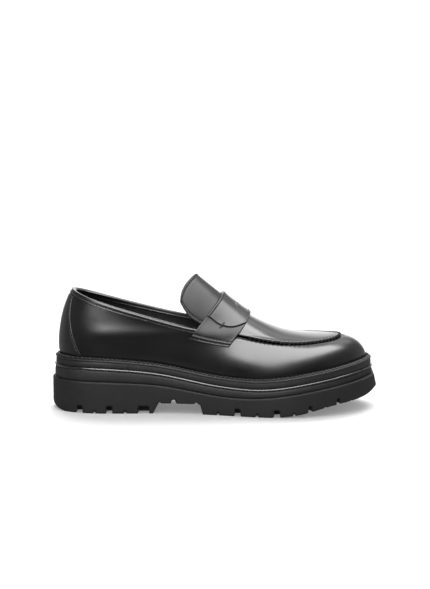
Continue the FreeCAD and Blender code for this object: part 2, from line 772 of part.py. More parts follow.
def make_topline_stitches():
    us = spread(wall_station(-27, 1) - 1, wall_station(-27, -1), 90)
    path = [(u, BINDING_FOOT + 0.025) for u in us if not -0.03 < u < 0.03]
    face = lambda u, v: offset_point(wall_point, u, v, BINDING_GAP + BINDING_THICKNESS)
    return Part.Compound(stitch_row(face, path, THREAD, STITCH_PITCH))


def apron_rows():
    return spread(TONGUE_ROW, 3.0, 5)[:-1] + spread(3.0, 9.0, 16)[:-1] + spread(9.0, 11.0, 8)


def make_apron():
    return shell_of(top_point, WALL, apron_rows(), spread(-1, 1, 13))


def make_apron_lining():
    rows = spread(TONGUE_ROW, 10.2, 24)
    return shell_of(top_point, TONGUE_LINING, rows, spread(-0.95, 0.95, 13))


def make_tongue():
    return shell_of(top_point, WALL, spread(0.0, TONGUE_ROW - 0.03, 9), spread(-1, 1, 15))


def make_tongue_lining():
    return shell_of(top_point, TONGUE_LINING, spread(0.0, TONGUE_ROW - 0.03, 9), spread(-1, 1, 15))


def make_tongue_stitches():
    path = [(2.05, -0.97)]
    path += [(r, -0.95) for r in spread(1.9, 0.3, 8)]
    path += [(0.12, t) for t in spread(-0.85, 0.85, 17)]
    path += [(r, 0.95) for r in spread(0.3, 1.9, 8)]
    return Part.Compound(stitch_row(top_point, path, THREAD, STITCH_PITCH))


def make_apron_stitches():
    """Long stitches over the apron's raised edge, from strap to toe and back."""
    path = [(row, -0.985) for row in spread(4.4, 10.2, 40)]
    path += [(10.72, t) for t in spread(-0.9, 0.9, 9)]
    path += [(row, 0.985) for row in spread(10.2, 4.4, 40)]
    return Part.Compound(stitch_row(top_point, path, THREAD, APRON_PITCH))


# ---------------------------------------------------------------- strap and keeper
def saddle_station(surface, p, b, lo, hi):
    """Where the line b of a surface crosses the section plane at distance p."""
    for _ in range(30):
        mid = (lo + hi) / 2
        if (surface(mid, b) - STRAP_ORIGIN).dot(STRAP_PLANE) < p:
            lo = mid
        else:
            hi = mid
    return surface((lo + hi) / 2, b)


def saddle_section(p):
    """The upper's outer face in one section plane, from wall over the top to wall."""
    lateral = [saddle_station(wall_point, p, v, 0.05, 0.5) for v in (0.54, 0.66, 0.78, 0.9)]
    medial = [saddle_station(wall_point, p, v, 0.95, 0.5) for v in (0.9, 0.78, 0.66, 0.54)]
    top = [saddle_station(top_point, p, t, 0.0, 9.0) for t in spread(-0.84, 0.84, 11)]
    return lateral + top + medial


P_STEPS = spread(STRAP_BACK - 3, STRAP_FRONT + 3, 9)


def saddle_grid():
    """Splines along the saddle's sections, each from w -1 at the lateral end to 1."""
    splines = []
    for p in P_STEPS:
        section = saddle_section(p)
        knots = running_length(section)
        splines.append(Spline([2 * k / knots[-1] - 1 for k in knots], section))
    return splines


saddle_splines = saddle_grid()


def saddle_point(p, w):
    """The saddle's face: p across the strap, w from -1 at the lateral end to 1 medial."""
    return V(*Spline(P_STEPS, [s.at(w) for s in saddle_splines]).at(p))


def make_strap():
    ps = spread(STRAP_BACK, STRAP_FRONT, 9)
    return shell_of(saddle_point, STRAP, ps, spread(-STRAP_END, STRAP_END, 41))


def keeper_end(k):
    """How far round the strap the keeper reaches: k is 0 at its back edge, 1 at its front."""
    return KEEPER_END * (0.9 + 0.1 * ease(k / 0.5) - 0.17 * max(0.0, (k - 0.6) / 0.4) ** 2)


def make_keeper():
    """The mask on the strap: a plate with rounded front corners and a slot for a coin."""
    grids = []
    for height in reversed(KEEPER):
        grid = []
        for k in spread(0, 1, 9):
            p = STRAP_BACK + 0.3 + (STRAP_FRONT - STRAP_BACK - 0.6) * k
            end = keeper_end(k)
            grid.append([offset_point(saddle_point, p, end * w, height) for w in spread(-1, 1, 25)])
        grids.append(grid)
    plate = solid_between(*grids)
    length, width = PENNY_SLOT
    slot = Part.makeBox(width, length, 30, V(-width / 2, -length / 2, -15))
    centre = saddle_point((STRAP_BACK + STRAP_FRONT) / 2, 0)
    rise = V(-STRAP_PLANE.z, 0, STRAP_PLANE.x)
    slot.Placement = FreeCAD.Placement(centre, FreeCAD.Rotation(V(0, 0, 1), rise))
    return plate.cut(slot)


def make_keeper_tacks():
    """A thick bar of thread on each side of the keeper, half way along its lower edge."""
    bars = []
    face = lambda p, w: offset_point(saddle_point, p, w, STRAP[1])
    for side in (-1, 1):
        w = side * (keeper_end(0.5) + 0.02)
        p = (STRAP_BACK + STRAP_FRONT) / 2
        path = [(p - 2.4, w), (p, w), (p + 2.4, w)]
        bars += stitch_row(face, path, TACK_THREAD, 4.8)
    return Part.Compound(bars)


def make_strap_stitches():
    """Two rows along each lower end of the strap."""
    bars = []
    face = lambda p, w: offset_point(saddle_point, p, w, STRAP[1])
    for side in (-1, 1):
        for w in (STRAP_END - 0.035, STRAP_END - 0.085):
            path = [(p, side * w) for p in spread(STRAP_BACK + 1.5, STRAP_FRONT - 1.5, 9)]
            bars += stitch_row(face, path, THREAD, STITCH_PITCH)
    return Part.Compound(bars)


def make_keeper_stitches():
    bars = []
    face = lambda p, w: offset_point(saddle_point, p, w, KEEPER[1])
    for p in (STRAP_BACK + 2.2, STRAP_FRONT - 2.2):
        path = [(p, w) for w in spread(-KEEPER_END * 0.78, KEEPER_END * 0.78, 21)]
        bars += stitch_row(face, path, THREAD, STITCH_PITCH)
    return Part.Compound(bars)


# ---------------------------------------------------------------- build
NODES = {
    "outsole": make_outsole,
    "midsole": make_midsole,
    "midsole_bead": make_bead,
    "welt": make_welt,
    "welt_stitches": make_welt_stitches,
    "cork_filler": make_filler,
    "shank": shank_block,
    "insole_board": make_insole_board,
    "footbed_foam": make_foam,
    "sock_lining": make_sock,
    "vamp_and_quarters": make_wall,
    "lining": make_lining,
    "heel_counter": make_counter,
    "toe_puff": make_toe_puff,
    "side_linings": make_side_linings,
    "backstay": make_backstay,
    "backstay_stitches": make_backstay_stitches,
    "topline_binding": make_binding,
    "topline_stitches": make_topline_stitches,
    "apron": make_apron,
    "apron_lining": make_apron_lining,
    "apron_stitches": make_apron_stitches,
    "tongue": make_tongue,
    "tongue_lining": make_tongue_lining,
    "tongue_stitches": make_tongue_stitches,
    "saddle_strap": make_strap,
    "strap_stitches": make_strap_stitches,
    "penny_keeper": make_keeper,
    "keeper_stitches": make_keeper_stitches,
    "keeper_tacks": make_keeper_tacks,
}

os.makedirs("parts", exist_ok=True)
for name, make in NODES.items():
    export(name, make())
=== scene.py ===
"""The looks of the penny loafer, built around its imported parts.

Blender's units are metres. The guides below repeat the part's own guide curves, so they are in
millimetres, in the same frame: +X to the toe, +Y to the inner side, +Z up, the ground at z = 0.
Every leather piece is a closed shell between two heights over a guide surface, with rounded edges
and the grooves, ridges and puckers of its seams.
"""

import math

import bpy
import numpy as np
from mathutils import Matrix, Vector


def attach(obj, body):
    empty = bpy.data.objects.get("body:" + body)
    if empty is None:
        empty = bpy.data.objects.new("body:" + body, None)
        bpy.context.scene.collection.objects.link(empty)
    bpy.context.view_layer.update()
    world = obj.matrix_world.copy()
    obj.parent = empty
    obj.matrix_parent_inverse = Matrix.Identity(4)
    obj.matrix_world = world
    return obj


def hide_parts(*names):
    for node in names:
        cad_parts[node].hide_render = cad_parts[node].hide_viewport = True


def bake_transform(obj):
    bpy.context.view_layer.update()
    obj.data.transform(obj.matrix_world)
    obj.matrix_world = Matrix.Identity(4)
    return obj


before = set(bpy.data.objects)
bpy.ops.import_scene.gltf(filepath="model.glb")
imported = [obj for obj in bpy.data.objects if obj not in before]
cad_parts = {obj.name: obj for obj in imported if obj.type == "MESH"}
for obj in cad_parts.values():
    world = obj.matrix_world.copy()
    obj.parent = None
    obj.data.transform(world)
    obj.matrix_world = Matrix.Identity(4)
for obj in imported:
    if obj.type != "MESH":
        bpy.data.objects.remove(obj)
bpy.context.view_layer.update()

MM = 0.001


def into_scene(thing):
    bpy.context.scene.collection.objects.link(thing)


# ---------------------------------------------------------------- camera
CAMERA_AIM = Vector((0.0, 0.0, 0.1072))
CAMERA_DISTANCE = 2.0
CAMERA_ELEVATION = math.radians(9.3)
CAMERA_LENS, SENSOR_WIDTH = 129.4, 36.0
CAMERA_FAR = 100.0

camera = bpy.data.objects.new("camera", bpy.data.cameras.new("camera"))
camera.data.lens, camera.data.sensor_width = CAMERA_LENS, SENSOR_WIDTH
camera.data.clip_end = CAMERA_FAR
back = Vector((0.0, -math.cos(CAMERA_ELEVATION), math.sin(CAMERA_ELEVATION)))
camera.location = CAMERA_AIM + back * CAMERA_DISTANCE
camera.rotation_euler = back.to_track_quat("Z", "Y").to_euler()
into_scene(camera)
bpy.context.scene.camera = camera

# ---------------------------------------------------------------- the part's dimensions
SOLE_LENGTH, SOLE_WIDTH = 308.0, 112.0
MIDSOLE_INSET, BEAD_INSET, WELT_INSET, FEATHER_INSET = 2.6, 2.6, 3.4, 8.2
WELT_HEIGHT, WELT_RISE, BEAD_RADIUS = 7.2, 1.3, 1.2
SOCK_BASE, SOCK_THICKNESS, SOCK_INSET = 8.84, 1.0, 12.9
LAYER_GAP = 0.12
LINING = (-3.6, -2.6)
LINING_LIFT = 1.0
WALL = (-1.4, 0.0)
TONGUE_LINING = (-2.6, -1.52)
OVERLAY = (0.28, 1.3)
STRAP = (0.85, 1.95)
KEEPER = (2.1, 3.2)
BINDING_THICKNESS, BINDING_GAP, BINDING_FOOT = 0.8, 0.18, 0.915
HEEL_SEAM = 0.0004
SEAM_STEP, TOE_TUCK = 1.5, 2.2
STRAP_PLANE, STRAP_ORIGIN = np.array((0.777, 0, -0.63)), np.array((33, 0, 87.5))
STRAP_BACK, STRAP_FRONT, STRAP_END, KEEPER_END = -34.0, -0.6, 0.85, 0.545
PENNY_SLOT = (19.0, 3.0)
TONGUE_ROW = 2.16
WELT_JOINT_X = -81.5

OUTSOLE_OUTLINE = [
    (-152.5, 0), (-147.5, -17.5), (-133, -31), (-108, -37.5), (-75, -37.5), (-40, -37.5),
    (-5, -43), (30, -52), (62, -57), (90, -54), (115, -43.5), (135, -28), (148, -9.5),
    (152.5, 8), (148.5, 24), (136, 37.5), (112, 48), (82, 53), (50, 51), (18, 43.5),
    (-15, 35.5), (-50, 33), (-85, 35), (-112, 37), (-135, 31), (-147.8, 17.5),
]
WELT_RIM = [
    (-153, 50.5), (-110, 50), (-80, 48), (-55, 45.2), (-30, 40.7), (-8, 36.6), (15, 34),
    (38, 33.2), (62, 35.2), (85, 38.6), (110, 42.3), (130, 44.9), (153, 47.0),
]
OUTSOLE_TOP = [
    (-153, 29.9), (-110, 29.8), (-80, 28.6), (-55, 26.7), (-30, 23), (-8, 19.3), (15, 17.2),
    (38, 17.3), (62, 19.8), (85, 23.2), (110, 26.8), (130, 29.4), (153, 32),
]
# Rows of the top sheet: crest x and z, edge x and z, half width, arch, bow.
TOP_ROWS = [
    (-18, 127.5, -31.5, 101, 25.5, 1.0, 3.5), (-7, 118.4, -24, 90.5, 28.5, 1.0, 1.5),
    (4.5, 109, -15.3, 84.5, 30.0, 1.0, 0), (18, 98.2, 1, 77.8, 31.8, 0.95, 0),
    (32.5, 88.1, 21.5, 74.4, 33.6, 0.8, 0), (46, 81, 39, 71.0, 34.6, 0.55, 0),
    (62, 74.4, 57.5, 68.2, 34.4, 0.35, 0), (80, 70.6, 78, 66.6, 31.6, 0.2, 0),
    (96, 69.2, 95, 66.9, 26.5, 0.1, 0), (109, 68.9, 108.5, 67.6, 18.5, 0.05, 0),
    (116, 68.9, 115.8, 68.4, 10.5, 0, 0), (119, 68.9, 119, 68.8, 1.0, 0, 0),
]
TOP_CENTRE = [(-40, 1.0), (20, 1.0), (70, 1.5), (119, 5.5)]
# Rows of the wall: x of its foot, bulge, roll, and its top, as a point or a row of the top sheet.
TOPLINE_LATERAL = [
    (-129.5, 2.0, 0.25, (-123.5, -17.5, 108.4)), (-101, 2.0, 0.15, (-98.5, -27.0, 100.4)),
    (-66, 2.5, 0.15, (-66, -31.0, 91.0)), (-34, 3.0, 0.15, (-33.5, -33.2, 82.4)),
    (-6, 2.8, 0.2, (-6, -34.4, 77.2)),
]
TOPLINE_MEDIAL = [
    (-129.5, 2.0, 0.25, (-123.5, 20.0, 108.4)), (-101, 2.0, 0.15, (-98.5, 29.0, 100.2)),
    (-66, 2.5, 0.15, (-66, 33.0, 91.0)), (-34, 3.0, 0.15, (-33.5, 35.5, 83.0)),
    (-6, 2.8, 0.2, (-6, 36.5, 77.6)),
]
SEAM_ROWS = [
    (22, 2.5, 0.35, 4.0, 0.9), (49, 2.4, 0.7, 5.6, 1.0), (78, 2.2, 0.85, 6.95, 1.0),
    (103, 2.0, 0.9, 8.05, 1.0), (125.5, 1.9, 0.95, 9.15, 1.0),
]
HEEL_ROW = (0.0, 2.2, 0.4, -134.3, 1.5, 112.6)
TOE_ROW = (143.2, 1.9, 0.95, 11.0)


# ---------------------------------------------------------------- small mathematics
def paired(a, b):
    """Two numbers or arrays of numbers, as arrays of one shape."""
    return np.broadcast_arrays(np.asarray(a, float), np.asarray(b, float))


def unit(vectors):
    return vectors / np.linalg.norm(vectors, axis=-1, keepdims=True)


def bisected(is_under, lo, hi, rounds=30):
    """Narrows lo and hi to the place where is_under stops being true."""
    for _ in range(rounds):
        mid = (lo + hi) / 2
        under = is_under(mid)
        lo, hi = np.where(under, mid, lo), np.where(under, hi, mid)
    return lo, hi


class Spline:
    """A natural cubic spline through values, or rows of values, at rising knots."""

    def __init__(self, knots, values):
        self.knots, self.values = np.asarray(knots, float), np.asarray(values, float)
        gaps = np.diff(self.knots)
        slopes = (np.diff(self.values, axis=0).T / gaps).T
        matrix, right = np.eye(len(self.knots)), np.zeros_like(self.values)
        for i in range(1, len(self.knots) - 1):
            matrix[i, i - 1:i + 2] = gaps[i - 1], 2 * (gaps[i - 1] + gaps[i]), gaps[i]
            right[i] = 6 * (slopes[i] - slopes[i - 1])
        self.second = np.linalg.solve(matrix, right)

    def at(self, t):
        t = np.asarray(t, float)
        i = np.clip(np.searchsorted(self.knots, t) - 1, 0, len(self.knots) - 2)
        h = self.knots[i + 1] - self.knots[i]
        b = (t - self.knots[i]) / h
        a = 1 - b
        if self.values.ndim > 1:
            a, b, h = a[..., None], b[..., None], h[..., None]
        curve = (a**3 - a) * self.second[i] + (b**3 - b) * self.second[i + 1]
        return a * self.values[i] + b * self.values[i + 1] + curve * h * h / 6


def running_length(points, axis=0):
    """Lengths along a line of points, or along one axis of a grid of them."""
    points = np.moveaxis(np.asarray(points, float), axis, 0)
    steps = np.linalg.norm(np.diff(points, axis=0), axis=-1)
    total = np.concatenate([np.zeros((1,) + steps.shape[1:]), np.cumsum(steps, axis=0)])
    return np.moveaxis(total, 0, axis)


def closed_spline(points, stations=None):
    """A closed curve as a function of 0 to 1: by length, or through given stations."""
    points, n, wrap = np.asarray(points, float), len(points), 5
    if stations is None:
        lengths = running_length(np.vstack([points, points[:1]]))
        stations = lengths[:-1] / lengths[-1]
    order = range(-wrap, n + wrap + 1)
    spline = Spline([stations[i % n] + i // n for i in order], [points[i % n] for i in order])
    return lambda u: spline.at(np.mod(u, 1.0))


def height_curve(points):
    knots, values = zip(*points)
    spline = Spline(knots, values)
    return lambda x: spline.at(np.clip(x, knots[0], knots[-1]))


def ease(t):
    """A smooth step from 0 to 1."""
    t = np.clip(t, 0.0, 1.0)
    return t * t * (3 - 2 * t)


def bell(x, width):
    """1 at 0, falling away smoothly over a width."""
    return np.exp(-(x / width) ** 2)


def blank(points):
    """Slow, uneven waves over the shoe, from -1 to 1: no hide lies quite smooth."""
    x, y, z = np.moveaxis(points, -1, 0)
    first = np.sin(x / 9.1 + 1.3 * np.sin(z / 13.0)) * np.sin(y / 11.7 + z / 8.3)
    second = np.sin(x / 23.0 - y / 17.0 + 2.0) * np.sin(z / 19.0 + x / 31.0)
    return 0.5 * first + 0.5 * second


# ---------------------------------------------------------------- guide curves and surfaces
raw_outline = closed_spline(OUTSOLE_OUTLINE)
samples = raw_outline(np.arange(800) / 800)
outline_scale = np.array((SOLE_LENGTH, SOLE_WIDTH)) / (samples.max(0) - samples.min(0))
outline_centre = (samples.max(0) + samples.min(0)) / 2


def outline(u):
    return (raw_outline(u) - outline_centre) * outline_scale


def outward(u):
    """The outline's outward direction in plan at u."""
    step = unit(outline(np.asarray(u) + 0.004) - outline(np.asarray(u) - 0.004))
    return np.stack([step[..., 1], -step[..., 0]], axis=-1)


def inset_point(u, inset):
    point = outline(u)
    tuck = np.where(np.asarray(inset) > 0, TOE_TUCK * ease((point[..., 0] - 105) / 45), 0.0)
    return point - outward(u) * np.asarray(inset + tuck)[..., None]


def station(x, side, inset):
    """Where on the outline the inset curve passes x: side is -1 lateral, 1 medial."""
    lo, hi = bisected(lambda u: inset_point(u, inset)[0] < x, 0.0 if side < 0 else 1.0, 0.5)
    return float(lo + hi) / 2


welt_rim = height_curve(WELT_RIM)
outsole_top = height_curve(OUTSOLE_TOP)
top_centre = height_curve(TOP_CENTRE)


def midsole_top(x):
    return welt_rim(x) - WELT_HEIGHT


top_table = np.array(TOP_ROWS, float)
top_knots = running_length(top_table[:, [2, 4, 3]])
top_spline = Spline(top_knots, top_table)
row_knots = Spline(range(len(top_knots)), top_knots)


def top_point(row, t):
    """The top sheet's outer face: row 0 is the tongue's end, t is -1 lateral to 1 medial."""
    row, t = paired(row, t)
    xc, zc, xe, ze, width, arch, bow = np.moveaxis(top_spline.at(row_knots.at(row)), -1, 0)
    across = (1 - arch) * t + arch * np.sin(np.pi * t / 2)
    drop = (1 - arch) * t * t + arch * (1 - np.cos(np.pi * t / 2))
    x = xc + (xe - xc) * drop - bow * np.sin(np.pi * np.minimum(1.0, drop))
    return np.stack([x, top_centre(x) + width * across, zc + (ze - zc) * drop], axis=-1)


def wall_rows():
    """Stations of the wall, lateral side first: u, bulge, roll and the top's x, y and z."""

    def seam(row, side, step):
        return tuple(top_point(row, side) - (0, 0, SEAM_STEP * step))

    rows = [HEEL_ROW]
    for side, topline in ((-1, TOPLINE_LATERAL), (1, TOPLINE_MEDIAL)):
        for x, bulge, roll, top in topline:
            rows.append((station(x, side, FEATHER_INSET), bulge, roll, *top))
        for x, bulge, roll, row, step in SEAM_ROWS:
            rows.append((station(x, side, FEATHER_INSET), bulge, roll, *seam(row, side, step)))
    x, bulge, roll, row = TOE_ROW
    rows.append((station(x, -1, FEATHER_INSET), bulge, roll, *seam(row, 0, 1)))
    return np.array(sorted(rows))


wall_table = wall_rows()
wall_spline = closed_spline(wall_table[:, 1:], wall_table[:, 0])
TOE_U = station(TOE_ROW[0], -1, FEATHER_INSET)


def wall_point(u, v):
    """The wall's outer face: u is 0 to 1 round the shoe, v is 0 at its foot to 1 at its top."""
    u, v = paired(u, v)
    bulge, roll, tx, ty, tz = np.moveaxis(wall_spline(u), -1, 0)
    fx, fy = np.moveaxis(inset_point(u, FEATHER_INSET), -1, 0)
    out_x, out_y = np.moveaxis(outward(u), -1, 0)
    fz = midsole_top(fx) + LAYER_GAP
    inward = (1 - roll) * v * v + roll * (1 - np.cos(v * np.pi / 2))
    rise = (1 - roll) * v + roll * np.sin(v * np.pi / 2)
    swell = bulge * np.sin(np.pi * v * (1.5 - 0.5 * v))
    x = fx + (tx - fx) * inward + out_x * swell
    y = fy + (ty - fy) * inward + out_y * swell
    return np.stack([x, y, fz + (tz - fz) * rise], axis=-1)


def normal_at(surface, a, b, da=0.002, db=0.01):
    """The outward direction of a guide surface."""
    lowest = 0.0 if surface is wall_point else -1.0
    along = surface(a + da, b) - surface(a - da, b)
    across = surface(a, np.minimum(b + db, 1)) - surface(a, np.maximum(b - db, lowest))
    return unit(np.cross(along, across))


def offset_point(surface, a, b, height):
    """A point of a guide surface moved along its normal; positive is out of the shoe."""
    a, b = paired(a, b)
    return surface(a, b) + normal_at(surface, a, b) * np.asarray(height)[..., None]


def foot_height_v(u, height):
    """The wall's v at which it stands a height above its foot."""
    u, height = paired(u, height)
    foot = wall_point(u, 0.0)[..., 2]
    lowest, highest = np.zeros(u.shape), np.full(u.shape, 0.6)
    return bisected(lambda v: wall_point(u, v)[..., 2] - foot < height, lowest, highest, 24)[0]


def welt_face(u, v):
    """The welt's sloping top: v is 0 at its rim and 1 against the upper."""
    u, v = paired(u, v)
    plan = inset_point(u, WELT_INSET)
    rim_z = midsole_top(plan[..., 0]) + LAYER_GAP / 2 + WELT_HEIGHT
    rim = np.concatenate([plan, rim_z[..., None]], axis=-1)
    against_v = foot_height_v(u, WELT_HEIGHT + WELT_RISE)
    against = offset_point(wall_point, u, against_v, np.full(u.shape, 2 * LAYER_GAP))
    return rim + (against - rim) * v[..., None]


def backstay_point(k, v):
    half = 0.054 - 0.027 * v + 0.023 * (1 - v) ** 3
    return wall_point(half * k, v)


def saddle_crossing(surface, p, b, lo, hi):
    """Where lines b of a surface cross the section plane at distance p."""
    b = np.asarray(b, float)

    def is_under(a):
        return (surface(a, b) - STRAP_ORIGIN) @ STRAP_PLANE < p

    lo, hi = bisected(is_under, np.full(b.shape, lo), np.full(b.shape, hi))
    return surface((lo + hi) / 2, b)


def saddle_section(p):
    """A spline over the upper in one section plane, from w -1 at the lateral end to 1."""
    side = np.array((0.54, 0.66, 0.78, 0.9))
    lateral = saddle_crossing(wall_point, p, side, 0.05, 0.5)
    medial = saddle_crossing(wall_point, p, side[::-1], 0.95, 0.5)
    top = saddle_crossing(top_point, p, np.linspace(-0.84, 0.84, 11), 0.0, 9.0)
    section = np.vstack([lateral, top, medial])
    knots = running_length(section)
    return Spline(2 * knots / knots[-1] - 1, section)


P_STEPS = np.linspace(STRAP_BACK - 3, STRAP_FRONT + 3, 9)
saddle_sections = [saddle_section(p) for p in P_STEPS]
saddle_weights = Spline(P_STEPS, np.eye(len(P_STEPS)))


def saddle_point(p, w):
    """The saddle's face: p across the strap, w from -1 at the lateral end to 1 medial."""
    p, w = paired(p, w)
    sections = np.stack([s.at(w) for s in saddle_sections], axis=-2)
    return np.einsum("...k,...kc->...c", saddle_weights.at(p), sections)


def lining_lift(v):
    """The lining comes up against the wall near the topline, where no stiffener lies between."""
    return LINING_LIFT * ease((v - 0.72) / 0.12)


# ---------------------------------------------------------------- materials
def node(tree, kind, inputs=None, **settings):
    """Adds a shader node; an input is a value, or the output socket that feeds it."""
    made = tree.nodes.new("ShaderNode" + kind)
    for key, value in settings.items():
        setattr(made, key, value)
    for key, value in (inputs or {}).items():
        if isinstance(value, bpy.types.NodeSocket):
            tree.links.new(value, made.inputs[key])
        else:
            made.inputs[key].default_value = value
    return made


def new_material(name, **uniform):
    """A principled material with its uniform values set on the shader itself."""
    made = bpy.data.materials.new(name)
    made.use_nodes = True
    made.node_tree.nodes.clear()
    shader = node(made.node_tree, "BsdfPrincipled", {k.replace("_", " "): v for k, v in uniform.items()})
    end = node(made.node_tree, "OutputMaterial")
    made.node_tree.links.new(shader.outputs[0], end.inputs["Surface"])
    return made, made.node_tree, shader


def feed(shader, **sources):
    """Links sockets to the shader's inputs of those names."""
    for name, socket in sources.items():
        shader.id_data.links.new(socket, shader.inputs[name.replace("_", " ")])


def tinted(tree, share, colour, tint):
    """A colour turned towards a tint by a share."""
    return node(tree, "Mix", {0: share, 6: colour, 7: (*tint, 1)}, data_type="RGBA").outputs[2]


def ramp(tree, value, low, high, start=0.0, end=1.0):
    """Spreads a value between two numbers or colours."""
    if isinstance(low, tuple):
        share = node(tree, "MapRange", {0: value, 1: start, 2: end}).outputs[0]
        return tinted(tree, share, (*low, 1), high)
    return node(tree, "MapRange", {0: value, 1: start, 2: end, 3: low, 4: high}).outputs[0]


def noise(tree, scale, detail=3.0, rough=0.5, vector=None):
    inputs = {"Scale": scale, "Detail": detail, "Roughness": rough}
    if vector is None:
        vector = node(tree, "TexCoord").outputs["Object"]
    return node(tree, "TexNoise", {"Vector": vector, **inputs}).outputs["Fac"]


def cells(tree, scale, feature="DISTANCE_TO_EDGE"):
    place = node(tree, "TexCoord").outputs["Object"]
    return node(tree, "TexVoronoi", {"Vector": place, "Scale": scale}, feature=feature).outputs["Distance"]


def bump(tree, height, depth, strength=1.0, under=None):
    inputs = {"Height": height, "Distance": depth, "Strength": strength}
    if under is not None:
        inputs["Normal"] = under
    return node(tree, "Bump", inputs).outputs[0]


def attribute(tree, name):
    return node(tree, "Attribute", attribute_name=name).outputs["Fac"]


def combine(tree, operation, *values):
    return node(tree, "Math", dict(enumerate(values)), operation=operation).outputs[0]


def black(value):
    """A neutral dark colour with a trace of blue."""
    return value, value, value + 0.0005


def leather(name, dark, light, rough, grain, shine, polish):
    """Aniline leather: fine creased grain, slow waves, worn and burnished edges, and painted shade along its
    seams and grooves.
    """
    made, tree, shader = new_material(name, Coat_Weight=polish, Coat_Roughness=0.2, Specular_IOR_Level=shine)
    colour = ramp(tree, noise(tree, 42.0, 4.0), dark, light, 0.35, 0.7)
    worn = light[0] * 1.9, light[1] * 1.85, light[2] * 1.8
    colour = tinted(tree, attribute(tree, "wear"), colour, worn)
    # Painted shade: darker where the seam attribute marks grooves, seams and the keeper's lower edge, where
    # shade falls.
    colour = tinted(tree, attribute(tree, "seam"), colour, tuple(share * 0.35 for share in dark))
    smudge = ramp(tree, noise(tree, 38.0, 2.0), rough - 0.02, rough + 0.02, 0.3, 0.7)
    dull = combine(tree, "MULTIPLY_ADD", attribute(tree, "seam"), 0.35, smudge)
    creases = ramp(tree, cells(tree, 1500.0), 0.0, 1.0, 0.0, 0.25)
    pores = noise(tree, 3800.0, 2.0)
    skin = bump(tree, creases, 0.00003, grain)
    skin = bump(tree, pores, 0.00003, grain, skin)
    skin = bump(tree, noise(tree, 95.0, 1.0), 0.0006, 0.08, skin)
    feed(shader, Base_Color=colour, Roughness=dull, Normal=skin)
    return made


def rubber(name, dark, light, rough, shine, coat, grain):
    """Moulded rubber: a fine even sand texture and faint clouds of bloom."""
    made, tree, shader = new_material(name, Coat_Weight=coat, Coat_Roughness=0.1, Specular_IOR_Level=shine)
    bloom = ramp(tree, noise(tree, 60.0, 5.0, 0.6), dark, light, 0.3, 0.72)
    dull = ramp(tree, noise(tree, 400.0), rough - 0.06, rough + 0.06, 0.3, 0.7)
    skin = bump(tree, noise(tree, 2600.0, 3.0, 0.6), 0.00008, grain)
    skin = bump(tree, noise(tree, 120.0, 2.0), 0.0004, 0.1, skin)
    feed(shader, Base_Color=bloom, Roughness=dull, Normal=skin)
    return made


def thread_material():
    """Waxed thread: its twist runs diagonally round each stitch."""
    made, tree, shader = new_material("waxed_thread", Sheen_Weight=0.15)
    place = node(tree, "UVMap", uv_map="UVMap").outputs[0]
    wave = {"Vector": place, "Scale": 1.0, "Distortion": 0.4}
    twist = node(tree, "TexWave", wave, bands_direction="DIAGONAL").outputs["Fac"]
    colour = ramp(tree, twist, black(0.006), (0.02, 0.02, 0.021))
    dull = ramp(tree, noise(tree, 900.0), 0.34, 0.55, 0.3, 0.7)
    feed(shader, Base_Color=colour, Roughness=dull, Normal=bump(tree, twist, 0.00012, 0.8))
    return made


def cork_material():
    made, tree, shader = new_material("pressed_cork", Roughness=0.85)
    colour = ramp(tree, cells(tree, 420.0, "F1"), (0.34, 0.21, 0.11), (0.58, 0.42, 0.26), 0.1, 0.8)
    feed(shader, Base_Color=colour, Normal=bump(tree, cells(tree, 420.0), 0.0004, 0.7))
    return made


def steel_material():
    made, tree, shader = new_material("spring_steel", Metallic=1.0)
    stretch = node(tree, "Mapping", {"Scale": (6.0, 900.0, 900.0)})
    tree.links.new(node(tree, "TexCoord").outputs["Object"], stretch.inputs[0])
    brushed = noise(tree, 1.0, 4.0, 0.6, stretch.outputs[0])
    colour = ramp(tree, brushed, (0.36, 0.36, 0.38), (0.6, 0.6, 0.62))
    dull = ramp(tree, brushed, 0.25, 0.45)
    feed(shader, Base_Color=colour, Roughness=dull, Normal=bump(tree, brushed, 0.00005, 0.6))
    return made


def board_material():
    made, tree, shader = new_material("fibre_board", Roughness=0.9)
    fibres = noise(tree, 700.0, 8.0, 0.75)
    colour = ramp(tree, fibres, (0.3, 0.23, 0.16), (0.52, 0.43, 0.32), 0.3, 0.7)
    feed(shader, Base_Color=colour, Normal=bump(tree, fibres, 0.0002, 0.6))
    return made


def foam_material():
    made, tree, shader = new_material("soft_foam", Roughness=0.95)
    pores = cells(tree, 1300.0)
    colour = ramp(tree, pores, (0.1, 0.1, 0.1), (0.24, 0.24, 0.235), 0.0, 0.3)
    feed(shader, Base_Color=colour, Normal=bump(tree, pores, 0.0002, 0.8))
    return made


def cloth_material():
    """Cotton drill: two crossing sets of yarns."""
    made, tree, shader = new_material("cotton_drill", Roughness=0.9, Sheen_Weight=0.3)
    place = node(tree, "TexCoord").outputs["Object"]
    yarn = {"Vector": place, "Scale": 260.0, "Distortion": 0.6}
    sets = [node(tree, "TexWave", yarn, bands_direction=way).outputs["Fac"] for way in ("X", "Z")]
    weave = combine(tree, "MAXIMUM", *sets)
    colour = ramp(tree, weave, (0.34, 0.32, 0.28), (0.66, 0.63, 0.58))
    feed(shader, Base_Color=colour, Normal=bump(tree, weave, 0.0002, 0.7))
    return made


# name, dark, light, roughness, grain, shine, polish
upper_leather = leather("polished_black_calf", black(0.0035), black(0.006), 0.29, 0.12, 0.5, 0.1)
# The strap, tongue and keeper get copies of the upper's calf, a little lighter and less shiny, each set to
# how the light falls on its piece: painted light and shade.
strap_leather = leather("strap_calf_dimmed_copy", black(0.004), black(0.007), 0.34, 0.2, 0.26, 0.05)
tongue_leather = leather("tongue_black_calf", black(0.005), black(0.009), 0.4, 0.3, 0.3, 0.0)
keeper_leather = leather("keeper_black_calf", black(0.004), black(0.007), 0.32, 0.2, 0.37, 0.05)
